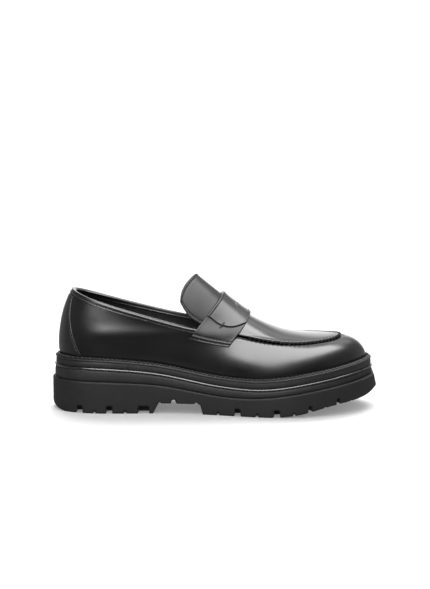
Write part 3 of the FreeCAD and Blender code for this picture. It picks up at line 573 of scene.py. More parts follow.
# Painted light: the tongue's lining is lighter than the other lining, so its shaded underside shows dark
# grey.
lightened_tongue_lining = leather("lightened_tongue_lining", (0.02, 0.02, 0.021), (0.034, 0.033, 0.034),
                                0.5, 0.4, 0.3, 0.0)
lining_leather = leather("lining_leather", black(0.006), (0.013, 0.0125, 0.013), 0.75, 0.4, 0.1, 0.0)
# name, dark, light, roughness, shine, coat, grain
outsole_rubber = rubber("outsole_rubber", black(0.011), black(0.015), 0.62, 0.2, 0.0, 0.4)
midsole_rubber = rubber("midsole_rubber", black(0.014), black(0.019), 0.55, 0.22, 0.0, 0.3)
welt_rubber = rubber("welt_rubber", black(0.013), black(0.018), 0.5, 0.25, 0.0, 0.3)
bead_rubber = rubber("polished_bead", black(0.010), black(0.014), 0.3, 0.5, 0.3, 0.1)
thread = thread_material()

NODE_MATERIALS = {
    "cork_filler": cork_material(),
    "shank": steel_material(),
    "insole_board": board_material(),
    "heel_counter": board_material(),
    "toe_puff": board_material(),
    "footbed_foam": foam_material(),
    "side_linings": cloth_material(),
}
for name, finish in NODE_MATERIALS.items():
    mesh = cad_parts[name].data
    mesh.materials.clear()
    mesh.materials.append(finish)


# ---------------------------------------------------------------- mesh making
SHARP_ANGLE = math.radians(50)


def grid_quads(rows, columns, wrap=False):
    """Quads over a grid of points; wrap joins the last column to the first."""
    i = np.arange(rows - 1)[:, None]
    j = np.arange(columns if wrap else columns - 1)[None, :]
    k = (j + 1) % columns
    i, j, k = np.broadcast_arrays(i, j, k)
    here, there = i * columns, (i + 1) * columns
    return np.stack([here + j, there + j, there + k, here + k], axis=-1).reshape(-1, 4)


def border_loop(rows, columns):
    """The grid's border, in the direction of its quads."""
    down = np.arange(rows) * columns
    last = (rows - 1) * columns
    across = last + np.arange(1, columns)
    up = down[::-1][1:] + columns - 1
    home = np.arange(columns - 1)[::-1][:-1]
    return np.concatenate([down, across, up, home])


def side_quads(loop, shift):
    """A band from a closed loop to the same loop shift places further on."""
    after = np.roll(loop, -1)
    return np.stack([after, loop, loop + shift, after + shift], axis=-1)


def ring_cap(count):
    """Quads that close a ring of points whose second half runs back beside its first."""
    i = np.arange(count // 2 - 1)
    return np.stack([i, i + 1, count - 2 - i, count - 1 - i], axis=-1)


def new_piece(name, points, quads, material, node, body="shoe", values=None, uv=None):
    """An object from points in millimetres, in place of a node, smooth but for its sharp edges."""
    mesh = bpy.data.meshes.new(name)
    mesh.from_pydata(np.asarray(points).reshape(-1, 3) * MM, [], quads.tolist())
    for key, value in (values or {}).items():
        layer = mesh.attributes.new(key, "FLOAT", "POINT")
        layer.data.foreach_set("value", np.clip(value, 0, 1).astype(np.float32).ravel())
    if uv is not None:
        layer = mesh.uv_layers.new(name="UVMap")
        layer.data.foreach_set("uv", uv[quads.ravel()].astype(np.float32).ravel())
    mesh.validate()
    mesh.shade_smooth()
    mesh.set_sharp_from_angle(angle=SHARP_ANGLE)
    mesh.materials.append(material)
    piece = bpy.data.objects.new(name, mesh)
    into_scene(piece)
    if body is not None:
        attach(piece, body)
    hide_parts(node)
    return piece


def rounded(distance, radius):
    """How far a rounded edge has dropped at a distance in from the border."""
    short = radius - np.clip(distance, 0, radius)
    return radius - np.sqrt(np.maximum(radius**2 - short**2, 0))


def stations(lo, hi, length, step, radius):
    """Values from lo to hi a step apart, and closer within the rounded edges at both ends."""
    near = radius * (1 - np.cos(np.radians((0, 22, 42, 60, 76)))) / length
    count = max(3, int(round((length - 2 * radius) / step)))
    middle = np.linspace(radius / length, 1 - radius / length, count)
    return lo + (hi - lo) * np.concatenate([near, middle, 1 - near[::-1]])


def edge_distances(grid):
    """Each grid point's distance to its first and second pair of borders, along the grid."""
    found = []
    for axis in (0, 1):
        run = running_length(grid, axis)
        whole = run.take([-1], axis=axis)
        found.append(np.minimum(run, whole - run))
    return found


class Shell:
    """A leather piece over a guide surface, before its seams are worked into it."""

    def __init__(self, surface, a_values, b_values):
        self.surface = surface
        self.a, self.b = np.meshgrid(a_values, b_values, indexing="ij")
        self.base = surface(self.a, self.b)
        self.normal = normal_at(surface, self.a, self.b)
        self.end, self.side = edge_distances(self.base)
        self.lift = 0.12 * blank(self.base)
        self.wear = np.zeros(self.a.shape)
        # seam marks where shade is painted: in grooves, seams and under edges.
        self.seam = np.zeros(self.a.shape)
        self.hole = None

    def round_off(self, radius, distance=None):
        """Rounds the outer edge, from the grid's borders or from a given distance to them."""
        if distance is None:
            corner = np.hypot(np.maximum(radius - self.end, 0), np.maximum(radius - self.side, 0))
            distance = radius - np.minimum(corner, radius)
        self.lift = self.lift - rounded(distance, radius)
        self.wear = np.maximum(self.wear, 0.8 * bell(distance - 0.3 * radius, radius * 0.8))

    def groove(self, distance, depth, width):
        """A stitched channel that pulls the leather in, with shade painted along it."""
        share = bell(distance, width)
        self.lift = self.lift - depth * share
        self.seam = np.maximum(self.seam, 0.5 * share)

    def build(self, name, layer, material, node, body="shoe"):
        """Closes the shell between the layer's lower and upper height."""
        low, high = layer
        rows, columns = self.a.shape
        outer = self.base + self.normal * (high + self.lift)[..., None]
        inner = self.base + self.normal * (low + np.zeros(self.a.shape))[..., None]
        count = rows * columns
        quads = grid_quads(rows, columns)
        bands = [side_quads(border_loop(rows, columns), count)]
        if self.hole is not None:
            i0, i1, j0, j1 = self.hole
            row, column = quads[:, 0] // columns, quads[:, 0] % columns
            inside = (row >= i0) & (row < i1) & (column >= j0) & (column < j1)
            quads = quads[~inside]
            loop = border_loop(i1 - i0 + 1, j1 - j0 + 1)
            wide = j1 - j0 + 1
            loop = (loop // wide + i0) * columns + loop % wide + j0
            bands.append(side_quads(loop[::-1], count))
        quads = np.vstack([quads, quads[:, ::-1] + count, *bands])
        # wear lightens rubbed edges; seam is painted shade.
        values = {
            "wear": np.concatenate([self.wear.ravel(), 0 * self.wear.ravel()]),
            "seam": np.concatenate([self.seam.ravel(), 0 * self.seam.ravel()]),
        }
        points = np.concatenate([outer.reshape(-1, 3), inner.reshape(-1, 3)])
        return new_piece(name, points, quads, material, node, body, values)


# ---------------------------------------------------------------- thread
FINE_PITCH, FINE_STITCH = 3.2, 2.5
RING = 8
RING_CAP = np.array(((0, 3, 2, 1), (0, 7, 4, 3), (4, 7, 6, 5)))


class Path:
    """A line along a surface by length, with the surface's outward direction."""

    def __init__(self, points, normals):
        self.knots = running_length(points)
        self.length = self.knots[-1]
        self.line, self.rise = Spline(self.knots, points), Spline(self.knots, normals)

    def frames(self, s):
        s = np.clip(s, 0, self.length)
        ahead, behind = np.minimum(s + 0.2, self.length), np.maximum(s - 0.2, 0)
        along = unit(self.line.at(ahead) - self.line.at(behind))
        side = unit(np.cross(self.rise.at(s), along))
        return self.line.at(s), along, side, np.cross(along, side)


def surface_path(surface, a, b, height):
    a, b = paired(a, b)
    normals = normal_at(surface, a, b)
    return Path(surface(a, b) + normals * np.asarray(height)[..., None], normals)


def stitch_tubes(centres, sides, ups, radius):
    """Tubes with rounded ends: arrays of (stitches, steps, 3) for their centre lines."""
    count, steps = centres.shape[:2]
    tau = np.linspace(-1, 1, steps)
    swell = radius * np.sqrt(np.maximum(1 - 0.94 * np.abs(tau) ** 5, 0.02))[None, :, None, None]
    angle = np.arange(RING) * 2 * np.pi / RING
    around = np.cos(angle)[:, None] * sides[:, :, None] + np.sin(angle)[:, None] * ups[:, :, None]
    points = (centres[:, :, None] + around * swell).reshape(-1, 3)
    tube = grid_quads(steps, RING, wrap=True)
    last = (steps - 1) * RING
    one = np.vstack([tube, RING_CAP, RING_CAP[:, ::-1] + last])
    quads = (np.arange(count)[:, None, None] * steps * RING + one).reshape(-1, 4)
    uv = np.stack(np.meshgrid(np.arange(steps) * 0.6, np.arange(RING) / RING, indexing="ij"), -1)
    return points, quads, np.tile(uv.reshape(-1, 2), (count, 1))


def along_stitches(path, radius, pitch=FINE_PITCH, length=FINE_STITCH, sunk=0.25, slant=0.25):
    """Stitches one after another along a path, their ends pulled into the leather."""
    count = int(path.length // pitch)
    middles = (path.length - (count - 1) * pitch) / 2 + np.arange(count) * pitch
    tau = np.linspace(-1, 1, 9)
    centre, _, side, up = path.frames(middles[:, None] + tau * length / 2)
    rise = radius * (0.75 - (1.1 + sunk) * np.abs(tau) ** 3.0)
    centre = centre + up * rise[None, :, None] + side * (slant * tau)[None, :, None]
    return stitch_tubes(centre, side, up, radius)


def join_meshes(parts):
    """Several (points, quads, uv) as one."""
    points, quads, uvs, shift = [], [], [], 0
    for p, q, uv in parts:
        points.append(p)
        quads.append(q + shift)
        uvs.append(uv)
        shift += len(p)
    return np.vstack(points), np.vstack(quads), np.vstack(uvs)


def thread_piece(name, parts, node, body="shoe"):
    points, quads, uv = join_meshes(parts)
    return new_piece(name, points, quads, thread, node, body, uv=uv)


# ---------------------------------------------------------------- sole
RING_STATIONS = (np.arange(900) + 0.5) / 900


def sole_layer(name, rings, material, node):
    """A closed layer of the sole: rings of (inset, height function) from its foot to its top."""
    count = len(RING_STATIONS)
    points = []
    for inset, height in rings:
        plan = inset_point(RING_STATIONS, inset + np.zeros(count))
        points.append(np.concatenate([plan, height(plan[:, 0])[:, None]], axis=1))
    quads = grid_quads(len(rings), count, wrap=True)[:, ::-1]
    cap = ring_cap(count)
    quads = np.vstack([quads, cap, cap[:, ::-1] + (len(rings) - 1) * count])
    new_piece(name, np.vstack(points), quads, material, node)


def bead_centre(x):
    return midsole_top(x) - BEAD_RADIUS


def make_bead():
    """A half-round polished rim."""
    rings = [(BEAD_INSET + 6.0, lambda x: bead_centre(x) - BEAD_RADIUS)]
    for angle in np.radians(np.linspace(-90, 90, 15)):
        out, up = 1.0 * math.cos(angle), (BEAD_RADIUS - 0.04) * math.sin(angle)
        rings.append((BEAD_INSET + 0.3 - out, lambda x, up=up: bead_centre(x) + up))
    rings.append((BEAD_INSET + 6.0, lambda x: bead_centre(x) + BEAD_RADIUS - 0.04))
    sole_layer("polished_bead", rings, bead_rubber, "midsole_bead")


def make_midsole():
    """A wedge of rubber with a softly bulging side, drawn in under the bead."""

    def height(share):
        def at(x):
            foot, head = outsole_top(x) + LAYER_GAP, midsole_top(x) - 2 * BEAD_RADIUS - LAYER_GAP
            return foot + (head - foot) * share
        return at

    rings = [(MIDSOLE_INSET + 8.0, height(0.0))]
    for angle in np.radians(np.linspace(-90, 90, 25)):
        bulge = abs(math.cos(angle)) ** 0.35
        share = 0.5 + 0.5 * math.sin(angle)
        rings.append((MIDSOLE_INSET + 1.2 - 1.75 * bulge + 0.35 * share, height(share)))
    rings.append((MIDSOLE_INSET + 8.0, height(1.0)))
    sole_layer("midsole_wedge", rings, midsole_rubber, "midsole")


OUTSOLE_VOXEL = 0.75 * MM


def apply_modifiers(piece):
    ready = piece.evaluated_get(bpy.context.evaluated_depsgraph_get())
    mesh = bpy.data.meshes.new_from_object(ready)
    piece.modifiers.clear()
    piece.data = mesh


def make_outsole():
    """The lugged unit with the small radii of a moulding on every edge."""
    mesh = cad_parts["outsole"].data.copy()
    mesh.materials.clear()
    mesh.materials.append(outsole_rubber)
    piece = bpy.data.objects.new("lugged_outsole", mesh)
    into_scene(piece)
    remesh = piece.modifiers.new("moulding", "REMESH")
    remesh.mode, remesh.voxel_size, remesh.use_smooth_shade = "VOXEL", OUTSOLE_VOXEL, True
    smooth = piece.modifiers.new("radii", "SMOOTH")
    smooth.factor, smooth.iterations = 0.5, 3
    apply_modifiers(piece)
    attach(piece, "shoe")
    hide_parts("outsole")


WELT_PITCH = 4.15
WELT_GAP, WELT_LENGTH = 0.6, 780.0


def welt_stations(count):
    """Places along the welt, from one side of its butt joint round to the other."""
    joint = station(WELT_JOINT_X, -1, WELT_INSET)
    half = WELT_GAP / 2 / WELT_LENGTH
    return np.linspace(joint + half, joint + 1 - half, count)


def make_welt():
    """The welt: an upright side with a thin lip, and a ribbed top that slopes up to the leather."""
    u = welt_stations(1560)
    rim, against = welt_face(u, 0.0), welt_face(u, 1.0)
    run = running_length(rim)
    teeth = 0.5 + 0.5 * np.cos(2 * np.pi * run / WELT_PITCH)
    out = np.concatenate([outward(u), np.zeros((len(u), 1))], axis=1)
    up = np.array((0.0, 0.0, 1.0))
    heel = ease((-92 - rim[:, 0]) / 30)[:, None]
    base = rim - up * WELT_HEIGHT
    foot = foot_height_v(u, 0.0 * u)
    under = offset_point(wall_point, u, foot, np.full(u.shape, 2 * LAYER_GAP))
    under[:, 2] = base[:, 2]
    section = [under, base + (under - base) * 0.5]
    for height, proud in ((0.0, -0.35), (0.25, -0.08), (0.8, 0.1), (2.2, 0.18), (3.6, 0.12), (4.6, 0.0)):
        section.append(base + up * height + out * proud)
    for height, proud in ((4.9, -0.15), (5.15, -0.4), (5.4, -0.35), (5.6, 0.0)):
        section.append(base + up * height + out * (proud * (0.25 + 0.95 * heel)))
    lip = 0.35 + 0.35 * heel
    for angle in np.radians((-50, -20, 10, 40, 65, 85)):
        proud = lip - 0.75 + 0.75 * math.cos(angle)
        section.append(base + up * (6.45 + 0.8 * math.sin(angle)) + out * proud)
    # The top: ribs across it, a channel for the stitches, and a step down against the leather.
    for v, lift, ribs in ((0.16, 0.1, 0.25), (0.26, 0.18, 0.6), (0.38, 0.18, 0.75), (0.46, 0.05, 0.6),
                          (0.54, -0.2, 0.3), (0.66, -0.25, 0.2), (0.78, -0.1, 0.1), (0.88, -0.05, 0.0),
                          (0.95, -0.5, 0.0), (1.0, -1.2, 0.0)):
        height = lift - ribs * 0.9 * (1 - teeth) ** 2
        section.append(rim + (against - rim) * v + up * height[:, None])
    grid = np.stack(section, axis=1)
    rows, columns = grid.shape[:2]
    quads = grid_quads(rows, columns, wrap=True)
    cap = ring_cap(columns)
    quads = np.vstack([quads, cap, cap[:, ::-1] + (rows - 1) * columns])[:, ::-1]
    new_piece("ribbed_welt", grid, quads, welt_rubber, "welt")


def make_welt_stitches():
    u = welt_stations(700)
    face = welt_face(u, 0.52)
    tilt = -unit(np.cross(np.gradient(face, axis=0), welt_face(u, 0.0) - face))
    path = Path(face + tilt * 0.1, tilt * np.sign(tilt[:, 2:]))
    stitches = along_stitches(path, 0.62, WELT_PITCH, 3.5, sunk=0.3, slant=0.45)
    thread_piece("welt_seam_thread", [stitches], "welt_stitches")


def make_sock_lining():
    """The padded sock on the footbed: crowned, with a pressed line inside its edge."""

    def bed(s, w):
        s, w = paired(s, w)
        inset = np.full(s.shape, SOCK_INSET)
        lateral, medial = inset_point(s / 2, inset), inset_point(1 - s / 2, inset)
        plan = lateral + (medial - lateral) * w[..., None]
        height = midsole_top(plan[..., 0]) + SOCK_BASE
        return np.concatenate([plan, height[..., None]], axis=-1)

    s = stations(0.006, 0.994, 280.0, 2.2, 0.8)
    w = stations(0.0, 1.0, 60.0, 1.6, 0.8)
    shell = Shell(bed, s, w)
    shell.normal = np.zeros_like(shell.base) + (0.0, 0.0, 1.0)
    across = 4 * shell.b * (1 - shell.b)
    away = np.minimum(shell.end, shell.side)
    shell.lift = 0.1 * blank(shell.base) + 0.35 * ease(away / 9) * across - 0.3
    shell.round_off(0.8)
    shell.groove(away - 3.2, 0.35, 0.7)
    layer = 0.0, SOCK_THICKNESS
    piece = shell.build("sock_lining_pad", layer, lining_leather, "sock_lining")


# ---------------------------------------------------------------- upper
SEAM_PITCH = 4.1
STEP = 1.15


def pucker(run, pitch=SEAM_PITCH):
    """1 where a stitch pulls the leather in, 0 between two."""
    return (0.5 + 0.5 * np.cos(2 * np.pi * run / pitch)) ** 1.5


def seam_run(points, at):
    """Lengths along a line, counted from the point whose index is given."""
    run = running_length(points)
    return run - run[at]


def wall_seam_share(u):
    """1 where the wall's top is sewn to the apron, 0 along the topline."""
    x = wall_point(u, 1.0)[..., 0]
    return ease((x - 8) / 16)


def make_wall():
    """Vamp and quarters: drawn in at the welt, and gathered along the apron seam."""
    u = stations(HEEL_SEAM, 1 - HEEL_SEAM, 730.0, STEP, 0.5)
    v = stations(0.0, 1.0, 72.0, STEP, 0.6)
    shell = Shell(wall_point, u, v)
    run = seam_run(shell.base[:, -1], int(np.argmin(np.abs(u - TOE_U))))[:, None]
    from_top = running_length(shell.base, 1)
    from_top = from_top[:, -1:] - from_top
    sewn = wall_seam_share(u)[:, None]
    height = shell.base[..., 2] - shell.base[:, :1, 2]
    over_welt = height - (WELT_HEIGHT + WELT_RISE)
    shell.lift = shell.lift * ease(over_welt / 8) - 0.75 * bell(over_welt + 0.3, 2.0)
    # Painted shade where the wall meets the welt.
    shell.seam = 0.9 * bell(over_welt, 1.3)
    # The quarters stand out a little in a soft line below the topline.
    x, z = shell.base[..., 0], shell.base[..., 2]
    shell.lift += 0.9 * bell(z - 74.5, 7.5) * ease((x + 130) / 25) * ease((-20 - x) / 22)
    # The groove under the apron's raised edge, its stitch holes and the gathers beside them, with shade
    # painted into the groove.
    pull = pucker(run)
    shell.lift -= sewn * (1.0 * bell(from_top - 0.2, 1.9) + 0.35 * pull * bell(from_top - 1.0, 2.2))
    shell.lift += sewn * 0.22 * (1 - pull) * bell(from_top - 3.6, 1.6)
    shell.seam = np.maximum(shell.seam, sewn * (0.45 + 0.45 * pull) * bell(from_top, 1.6))
    shell.round_off(0.5, np.where(sewn > 0.5, from_top, 9.0) + 0 * shell.a)
    shell.build("vamp_and_quarters_leather", WALL, upper_leather, "vamp_and_quarters")


def make_lining():
    """The lining, its seen face inside: a seam on each side where the heel lining starts."""
    u = stations(HEEL_SEAM, 1 - HEEL_SEAM, 700.0, 2.2, 0.5)
    v = stations(0.0, 1.0, 70.0, 2.0, 0.5)
    shell = Shell(wall_point, u, v)
    x = shell.base[..., 0]
    seam = bell(x + 62 - 6 * shell.b, 0.9) * (shell.b < 0.97)
    dip = 0.3 * seam - 0.12 * bell(x + 59 - 6 * shell.b, 2.0)
    low = LINING[0] + lining_lift(shell.b) + dip + 0.12 * blank(shell.base)
    shell.lift = lining_lift(shell.b)
    shell.build("quarter_lining", (low, LINING[1]), lining_leather, "lining")


def make_backstay():
    k = stations(-1.0, 1.0, 62.0, STEP, 0.5)
    v = stations(0.14, 0.9, 52.0, STEP, 0.5)
    shell = Shell(backstay_point, k, v)
    shell.round_off(0.5)
    shell.groove(shell.end - 2.0, 0.22, 0.55)
    shell.build("heel_backstay", OVERLAY, upper_leather, "backstay")
    rows = []
    for side in (-1, 1):
        path = surface_path(backstay_point, side * 0.925, np.linspace(0.17, 0.88, 40), OVERLAY[1] - 0.12)
        rows.append(along_stitches(path, 0.36))
    thread_piece("backstay_thread", rows, "backstay_stitches")


def binding_section(u, legs, thickness):
    """A U over the topline: down the outside, over the edge and down the inside."""
    u = u[:, None]
    inner_depth = LINING[0] + LINING_LIFT
    out_leg, in_leg = BINDING_GAP + thickness[:, :len(legs)], thickness[:, -len(legs):]
    outside = offset_point(wall_point, u, legs[None, :], out_leg)
    inside = offset_point(wall_point, u, legs[None, ::-1], inner_depth - BINDING_GAP - in_leg)
    edge_out = offset_point(wall_point, u, 1.0, np.zeros(u.shape))
    edge_in = offset_point(wall_point, u, 1.0, np.full(u.shape, inner_depth))
    across = edge_in - edge_out
    wide = np.linalg.norm(across, axis=-1, keepdims=True)
    crown = thickness[:, len(legs):-len(legs), None]
    angle = np.radians(np.linspace(156, 24, crown.shape[1]))[None, :, None]
    bow = (edge_out + edge_in) / 2 + across / wide * (wide / 2 + BINDING_GAP + crown) * np.cos(angle)
    bow = bow + np.array((0.0, 0.0, 1.0)) * (BINDING_GAP + crown) * np.sin(angle)
    return np.concatenate([outside, bow, inside], axis=1)


LEG_LENGTH = 62.0  # of the wall, from its foot to the topline along its face
STITCH_ROW = 1.7  # the row of stitches, up from the binding's outer end


def make_binding():
    """The rolled edge of the opening, gathered a little at each stitch."""
    medial, lateral = station(-12, 1, FEATHER_INSET) - 1, station(-12, -1, FEATHER_INSET)
    u = stations(medial, lateral, 340.0, 0.8, 0.4)
    legs = BINDING_FOOT + np.array((0.0, 0.0016, 0.006, 0.012, 0.02, 0.03, 0.04, 0.05, 0.06, 0.07))
    crown = 13
    columns = 2 * len(legs) + crown
    rim = wall_point(u, 1.0)
    run = running_length(rim)
    leg = (legs - BINDING_FOOT) * LEG_LENGTH
    dips = np.zeros((len(u), columns))
    dips += rounded(np.concatenate([leg, np.full(crown, 9.0), leg[::-1]]), 0.45)
    row = bell(leg - STITCH_ROW, 0.55)
    row = np.concatenate([row, np.zeros(crown), row[::-1]])
    pull = pucker(run, FINE_PITCH)[:, None]
    dips += row * (0.16 + 0.2 * pull)
    ends = np.minimum(run, run[-1] - run)[:, None]
    thickness = np.clip(BINDING_THICKNESS - dips - rounded(ends, 0.4), 0.05, None)
    thickness[:, len(legs):-len(legs)] += 0.12 + 0.05 * (1 - pull)
    outer = binding_section(u, legs, thickness)
    inner = binding_section(u, legs, np.zeros_like(thickness))
    rows = len(u)
    count = rows * columns
    quads = grid_quads(rows, columns)
    quads = np.vstack([quads, quads[:, ::-1] + count, side_quads(border_loop(rows, columns), count)])
    points = np.concatenate([outer.reshape(-1, 3), inner.reshape(-1, 3)])
    crown_wear = np.concatenate([0 * leg, np.full(crown, 0.55), 0 * leg])
    # The seam values are painted shade along the stitch row.
    values = {
        "wear": np.concatenate([np.tile(crown_wear, rows), np.zeros(count)]),
        "seam": np.concatenate([np.tile(0.5 * row, rows), np.zeros(count)]),
    }
    new_piece("topline_edge_roll", points, quads, upper_leather, "topline_binding",
              values=values)
    place = BINDING_FOOT + STITCH_ROW / LEG_LENGTH
    face = surface_path(wall_point, u, place, BINDING_GAP + BINDING_THICKNESS - 0.2)
    thread_piece("topline_thread", [along_stitches(face, 0.34)], "topline_stitches")


def apron_grid():
    """Rows and places across of the apron: closer rows at the toe, closer places at the edge."""
    rows = np.concatenate([np.linspace(TONGUE_ROW, 9.0, 100)[:-1], np.linspace(9.0, 11.0, 70)])
    return rows, stations(-1.0, 1.0, 66.0, 1.0, 0.7)


def nearest_on(line, points):
    """For each point, its distance to a line of points and the line's index there."""
    flat = points.reshape(-1, 3)
    distance, index = np.empty(len(flat)), np.empty(len(flat), int)
    for start in range(0, len(flat), 4000):
        part = flat[start:start + 4000]
        gaps = np.linalg.norm(part[:, None] - line[None], axis=-1)
        index[start:start + 4000] = gaps.argmin(1)
        distance[start:start + 4000] = gaps.min(1)
    return distance.reshape(points.shape[:-1]), index.reshape(points.shape[:-1])


def apron_edge(count=420):
    """The apron's edge, from the strap round the toe and back."""
    rows = np.linspace(TONGUE_ROW, 11.0, count)
    rows = np.concatenate([rows, rows[::-1][1:]])
    sides = np.concatenate([np.full(count, -1.0), np.full(count - 1, 1.0)])
    return rows, sides, top_point(rows, sides)


def make_apron():
    """The plug of the upper, its edge turned up in a ridge that the seam gathers."""
    rows, across = apron_grid()
    shell = Shell(top_point, rows, across)
    _, _, line = apron_edge()
    run = seam_run(line, len(line) // 2)
    away, index = nearest_on(line, shell.base)
    sewn = ease((shell.base[..., 0] - 22) / 14)
    pull = pucker(run[index])
    shell.lift = shell.lift * ease(away / 6)
    ridge = 0.75 - 0.3 * pull
    shell.lift += sewn * (ridge * bell(away - 1.1, 1.25) - 0.22 * bell(away - 3.9, 1.1))
    shell.round_off(0.7, away)
    # Painted shade in the channel inside the raised edge.
    shell.seam = sewn * 0.25 * bell(away - 3.9, 1.0)
    shell.build("apron_plug", (WALL[0] - 0.25, WALL[1]), upper_leather, "apron")


WHIP_START_X = 31.0  # the first whip stitch, just in front of the strap


def make_apron_stitches():
    """Whip stitches over the apron's raised edge, down its side and into the wall."""
    rows, sides, line = apron_edge()
    run = seam_run(line, len(line) // 2)
    first = run[np.searchsorted(line[:len(line) // 2, 0], WHIP_START_X)]
    middles = np.arange(math.ceil(first / SEAM_PITCH), math.floor(-first / SEAM_PITCH) + 1) * SEAM_PITCH
    up = normal_at(top_point, rows, sides)
    out = np.cross(unit(np.gradient(line, run, axis=0)), up)

    def pick(values):
        return np.stack([np.interp(s, run, values[:, k]) for k in range(3)], axis=-1)

    # Across the ridge, from the apron's top over its edge to the wall: (out, up) and lean along.
    bend = np.array(((-2.0, -0.25), (-1.5, 0.42), (-0.9, 0.72), (-0.2, 0.5), (0.3, 0.0), (0.45, -0.7),
                     (0.6, -1.4), (0.9, -1.95), (1.4, -2.35)))
    lean = np.linspace(-0.55, 0.55, len(bend))
    s = middles[:, None] + lean
    place, outs, ups = pick(line), pick(out), pick(up)
    centre = place + outs * bend[None, :, :1] + ups * bend[None, :, 1:]
    side = np.cross(outs, ups)
    lift = np.cross(unit(np.gradient(centre, axis=1)), side)
    thread_piece("apron_whip_thread", [stitch_tubes(centre, side, lift, 0.42)], "apron_stitches")


def make_apron_lining():
    rows = np.linspace(TONGUE_ROW, 10.2, 90)
    shell = Shell(top_point, rows, stations(-0.95, 0.95, 62.0, 1.6, 0.5))
    shell.lift = shell.lift * 0
    shell.build("apron_inner_lining", TONGUE_LINING, lining_leather, "apron_lining")


TONGUE_SKEW = 0.18


def tongue_point(row, t):
    """The tongue's face: its free end runs a little further on the lateral side."""
    row, t = paired(row, t)
    skew = TONGUE_SKEW * np.sin(np.pi / 2 * np.clip(1.7 * t, -1, 1))
    return top_point(row + skew * (1 - row / TONGUE_ROW) ** 2, t)


def make_tongue():
    """The tongue: an edge roll with a stitched line inside it, free behind the strap."""
    rows = stations(0.0, TONGUE_ROW - 0.03, 38.0, 0.9, 0.7)
    shell = Shell(tongue_point, rows, stations(-1.0, 1.0, 88.0, 1.0, 0.7))
    free_end = running_length(shell.base, 0)
    away = np.minimum(free_end, shell.side)
    shell.lift += 0.28 * bell(away - 1.4, 0.9)
    shell.round_off(0.7, away)
    shell.groove(away - 3.0, 0.3, 0.6)
    pieces = [shell.build("tongue_leather", WALL, tongue_leather, "tongue", body=None)]
    under = Shell(tongue_point, rows, stations(-1.0, 1.0, 88.0, 1.6, 0.5))
    under.lift = 0 * under.lift
    low = TONGUE_LINING[0] + rounded(np.minimum(running_length(under.base, 0), under.side), 0.6)
    pieces.append(under.build("tongue_inner_lining", (low, TONGUE_LINING[1]), lightened_tongue_lining,
                              "tongue_lining", None))
    inset_rows = np.concatenate([np.linspace(2.06, 0.3, 40), np.full(60, 0.175), np.linspace(0.3, 2.06, 40)])
    turn = np.concatenate([np.full(40, -0.93), np.linspace(-0.9, 0.9, 60), np.full(40, 0.93)])
    path = surface_path(tongue_point, inset_rows, turn, WALL[1] - 0.12)
    pieces.append(thread_piece("tongue_thread", [along_stitches(path, 0.34)], "tongue_stitches", None))
    for piece in pieces:
        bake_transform(piece)


STRAP_ROWS = (0.035, 0.085)
STRAP_MIDDLE = -17.0
KEEPER_MARGIN = 0.3  # the keeper's long edges, in from the strap's
KEEPER_WIDE = STRAP_FRONT - STRAP_BACK - 2 * KEEPER_MARGIN


def saddle_girth():
    """The length of the saddle's face round the upper, along the strap's middle."""
    return running_length(saddle_point(STRAP_MIDDLE, np.linspace(-1, 1, 200)))[-1]


def make_strap():
    """The saddle strap: two stitched rows with a ridge between them at each lower end."""
    girth = saddle_girth()
    p = stations(STRAP_BACK, STRAP_FRONT, 33.4, 0.9, 0.5)
    w = stations(-STRAP_END, STRAP_END, girth * STRAP_END, 0.9, 0.5)
    shell = Shell(saddle_point, p, w)
    half = girth / 2
    from_end = (STRAP_END - np.abs(shell.b)) * half
    first, second = (share * half for share in STRAP_ROWS)
    shell.round_off(0.5)
    shell.lift += 0.5 * bell(from_end - (first + second) / 2, 1.0) + 0.3 * bell(from_end - 0.9, 0.8)
    shell.groove(from_end - first, 0.3, 0.6)
    shell.groove(from_end - second, 0.3, 0.6)
    shell.lift += 0.12 * bell(shell.end - 1.0, 0.8)
    # Pressed in along the keeper's lower edge, with a painted shadow under the keeper.
    below = (np.abs(shell.b) - keeper_end(keeper_share(shell.a))) * half
    shell.lift -= 0.35 * bell(below - 0.2, 0.9)
    shell.seam = np.maximum(shell.seam, bell(below - 0.3, 0.9))
    shell.build("saddle_strap_leather", STRAP, strap_leather, "saddle_strap")
    rows = []
    for side in (-1, 1):
        for share in STRAP_ROWS:
            path = surface_path(saddle_point, np.linspace(STRAP_BACK + 1.2, STRAP_FRONT - 1.2, 30),
                                side * (STRAP_END - share), STRAP[1] - 0.16)
            rows.append(along_stitches(path, 0.36))
    thread_piece("strap_thread", rows, "strap_stitches")


def keeper_share(p):
    """Where across the keeper a line of the strap lies, from 0 at its back edge to 1."""
    return np.clip((p - STRAP_BACK - KEEPER_MARGIN) / KEEPER_WIDE, 0, 1)


def keeper_end(k):
    """How far round the strap the keeper reaches: k is 0 at its back edge, 1 at its front."""
    tuck = np.maximum(0.0, (k - 0.6) / 0.4)
    return KEEPER_END * (0.9 + 0.1 * ease(k / 0.5) - 0.25 * tuck**2.4)


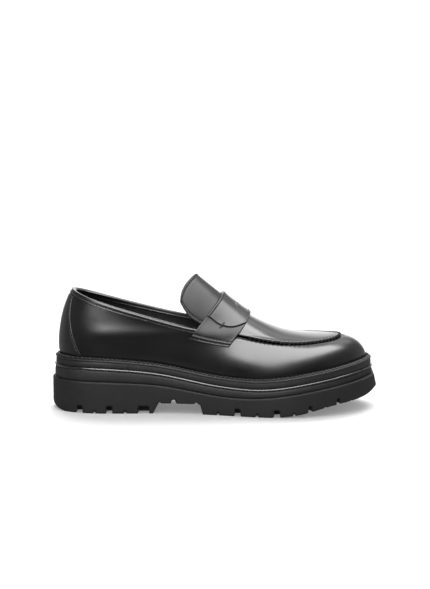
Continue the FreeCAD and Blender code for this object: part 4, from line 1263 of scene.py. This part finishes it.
def make_keeper():
    """The mask on the strap, with a rolled back edge, rounded front corners and the coin slot."""
    wide, girth = KEEPER_WIDE, saddle_girth()
    length, width = PENNY_SLOT
    k_slot, w_slot = width / 2 / wide, length / girth / KEEPER_END
    lows = stations(0.0, 0.5 - k_slot, wide / 2, 0.8, 0.45)
    highs = 1 - lows[::-1]
    k = np.concatenate([lows, np.linspace(0.5 - k_slot, 0.5 + k_slot, 5)[1:-1], highs])
    left = stations(-1.0, -w_slot, girth * KEEPER_END / 2, 0.9, 0.45)
    share = np.concatenate([left, np.linspace(-w_slot, w_slot, 21)[1:-1], -left[::-1]])

    def plate(k, share):
        return saddle_point(STRAP_BACK + KEEPER_MARGIN + wide * k, keeper_end(k) * share)

    shell = Shell(plate, k, share)
    i0, j0 = len(lows) - 1, len(left) - 1
    shell.hole = (i0, i0 + 4, j0, j0 + 20)
    slot_k = np.maximum(np.abs(shell.a - 0.5) - k_slot, 0) * wide
    slot_w = np.maximum(np.abs(shell.b) - w_slot, 0) * girth / 2 * KEEPER_END
    from_slot = np.hypot(slot_k, slot_w)
    back_edge = running_length(shell.base, 0)
    shell.lift += 0.35 * bell(back_edge - 0.9, 0.9)
    shell.round_off(0.55)
    shell.round_off(0.45, from_slot + 0.02)
    shell.lift += 0.22 * bell(from_slot - 1.2, 0.8)
    shell.groove(shell.end - 2.3, 0.16, 0.5)
    shell.build("penny_keeper_leather", KEEPER, keeper_leather, "penny_keeper")
    rows = []
    reach = np.linspace(-0.78, 0.78, 60)
    for place in (2.2 / wide, 1 - 2.2 / wide):
        path = surface_path(plate, place, reach, KEEPER[1] - 0.16)
        rows.append(along_stitches(path, 0.32))
    thread_piece("keeper_thread", rows, "keeper_stitches")


def make_tacks():
    """On each side a thread tack ties the keeper down over its lower edge."""
    middle = (STRAP_BACK + STRAP_FRONT) / 2
    parts = []
    for side in (-1, 1):
        edge = keeper_end(0.5)
        w = side * (edge + np.array((-0.055, -0.045, -0.02, 0.0, 0.015, 0.04, 0.055)))
        heights = np.array((3.0, 3.45, 3.5, 3.3, 2.6, 2.3, 1.9))
        for shift in (-0.45, 0.45):
            path = surface_path(saddle_point, middle + shift + 0 * w, w, heights)
            s = np.linspace(0, path.length, 11)[None]
            centre, _, across, up = path.frames(s)
            parts.append(stitch_tubes(centre, across, up, 0.42))
    thread_piece("keeper_tack_thread", parts, "keeper_tacks")


for make in (make_outsole, make_midsole, make_bead, make_welt, make_welt_stitches, make_sock_lining,
             make_wall, make_lining, make_backstay, make_binding, make_apron, make_apron_stitches,
             make_apron_lining, make_tongue, make_strap, make_keeper, make_tacks):
    make()

# ---------------------------------------------------------------- floor, lights
WHITE = (1.0, 1.0, 1.0, 1.0)
FLOOR_RADIUS = 30.0
FLOOR_GLOW = 0.2
SKY = 0.7
SUN, SUN_WIDTH, SUN_FROM = 3.4, math.radians(45), (0.1, 0.6, 0.8)
GLOSS_FRONT, GLOSS_SIDES, GLOSS_BACK, GLOSS_HORIZON, GLOSS_FLOOR = 0.05, 0.25, 0.25, 2.4, 0.4
LIGHT_AIM = Vector((0.0, 0.0, 0.07))


def make_floor():
    """A pale sweep, lit a little from within as a translucent table is."""
    corners = [(x * FLOOR_RADIUS, y * FLOOR_RADIUS, 0.0) for x, y in ((-1, -1), (1, -1), (1, 1), (-1, 1))]
    mesh = bpy.data.meshes.new("floor")
    mesh.from_pydata(corners, [], [(0, 1, 2, 3)])
    made, tree, shader = new_material("pale_floor", Roughness=0.8, Specular_IOR_Level=0.2,
                                      Emission_Color=WHITE, Emission_Strength=FLOOR_GLOW)
    feed(shader, Base_Color=ramp(tree, noise(tree, 6.0), (0.80, 0.80, 0.80), (0.83, 0.83, 0.83)))
    mesh.materials.append(made)
    floor = bpy.data.objects.new("floor", mesh)
    floor.visible_glossy = False
    into_scene(floor)


def softbox(name, direction, distance, long_way, size, radiance, shift=0.0):
    """A rectangular light whose face is seen in gloss; its longer side runs the long way."""
    data = bpy.data.lights.new(name, "AREA")
    data.shape, data.size, data.size_y = "RECTANGLE", *size
    data.energy = radiance * size[0] * size[1] * math.pi
    lamp = bpy.data.objects.new(name, data)
    z = Vector(direction).normalized()
    x = Vector(long_way)
    x = (x - z * z.dot(x)).normalized()
    turned = Matrix((x, z.cross(x), z)).transposed().to_4x4()
    lamp.matrix_world = Matrix.Translation(LIGHT_AIM + z * distance + x * shift) @ turned
    lamp.visible_camera = False
    lamp.visible_diffuse = False
    into_scene(lamp)


def make_sun():
    """The main light, from above and behind: it throws a soft short shadow to the front."""
    data = bpy.data.lights.new("top_light", "SUN")
    data.energy, data.angle = SUN, SUN_WIDTH
    lamp = bpy.data.objects.new("top_light", data)
    lamp.rotation_euler = Vector(SUN_FROM).to_track_quat("Z", "Y").to_euler()
    lamp.visible_glossy = False
    into_scene(lamp)


def make_world():
    """Even white for the plain light; in gloss a dark studio with a pale floor and bright back wall."""
    world = bpy.data.worlds.new("studio")
    world.use_nodes = True
    tree = world.node_tree
    background = tree.nodes["Background"]
    direction = node(tree, "SeparateXYZ", {0: node(tree, "TexCoord").outputs["Generated"]})
    x, y, z = direction.outputs
    parts = ((combine(tree, "MULTIPLY", x, x), 0.3, 1.0, GLOSS_SIDES), (y, 0.1, 0.6, GLOSS_BACK),
             (y, 0.86, 1.0, GLOSS_HORIZON), (z, -0.2, -0.75, GLOSS_FLOOR))
    seen = GLOSS_FRONT
    for value, start, end, radiance in parts:
        reach = {0: value, 1: start, 2: end, 4: radiance}
        rise = node(tree, "MapRange", reach, interpolation_type="SMOOTHSTEP")
        seen = combine(tree, "ADD", rise.outputs[0], seen)
    gloss = node(tree, "LightPath").outputs["Is Glossy Ray"]
    strength = node(tree, "Mix", {0: gloss, 2: SKY, 3: seen})
    tree.links.new(strength.outputs[0], background.inputs[1])
    background.inputs[0].default_value = WHITE
    bpy.context.scene.world = world


make_floor()
make_world()
make_sun()
# name, direction, distance, long way, size, radiance and shift
softbox("overhead", (0.10, -0.50, 0.86), 1.1, (0.60, 0.72, 0.35), (3.1, 0.85), 12.0, 0.22)
softbox("low_front", (-0.20, -0.98, 0.08), 2.0, (1.0, 0.0, 0.0), (0.25, 0.12), 3.5)
softbox("rear", (0.15, 0.72, 0.7), 1.6, (1.0, 0.0, 0.0), (1.6, 0.6), 1.6)
bpy.context.scene.view_settings.view_transform = "Standard"
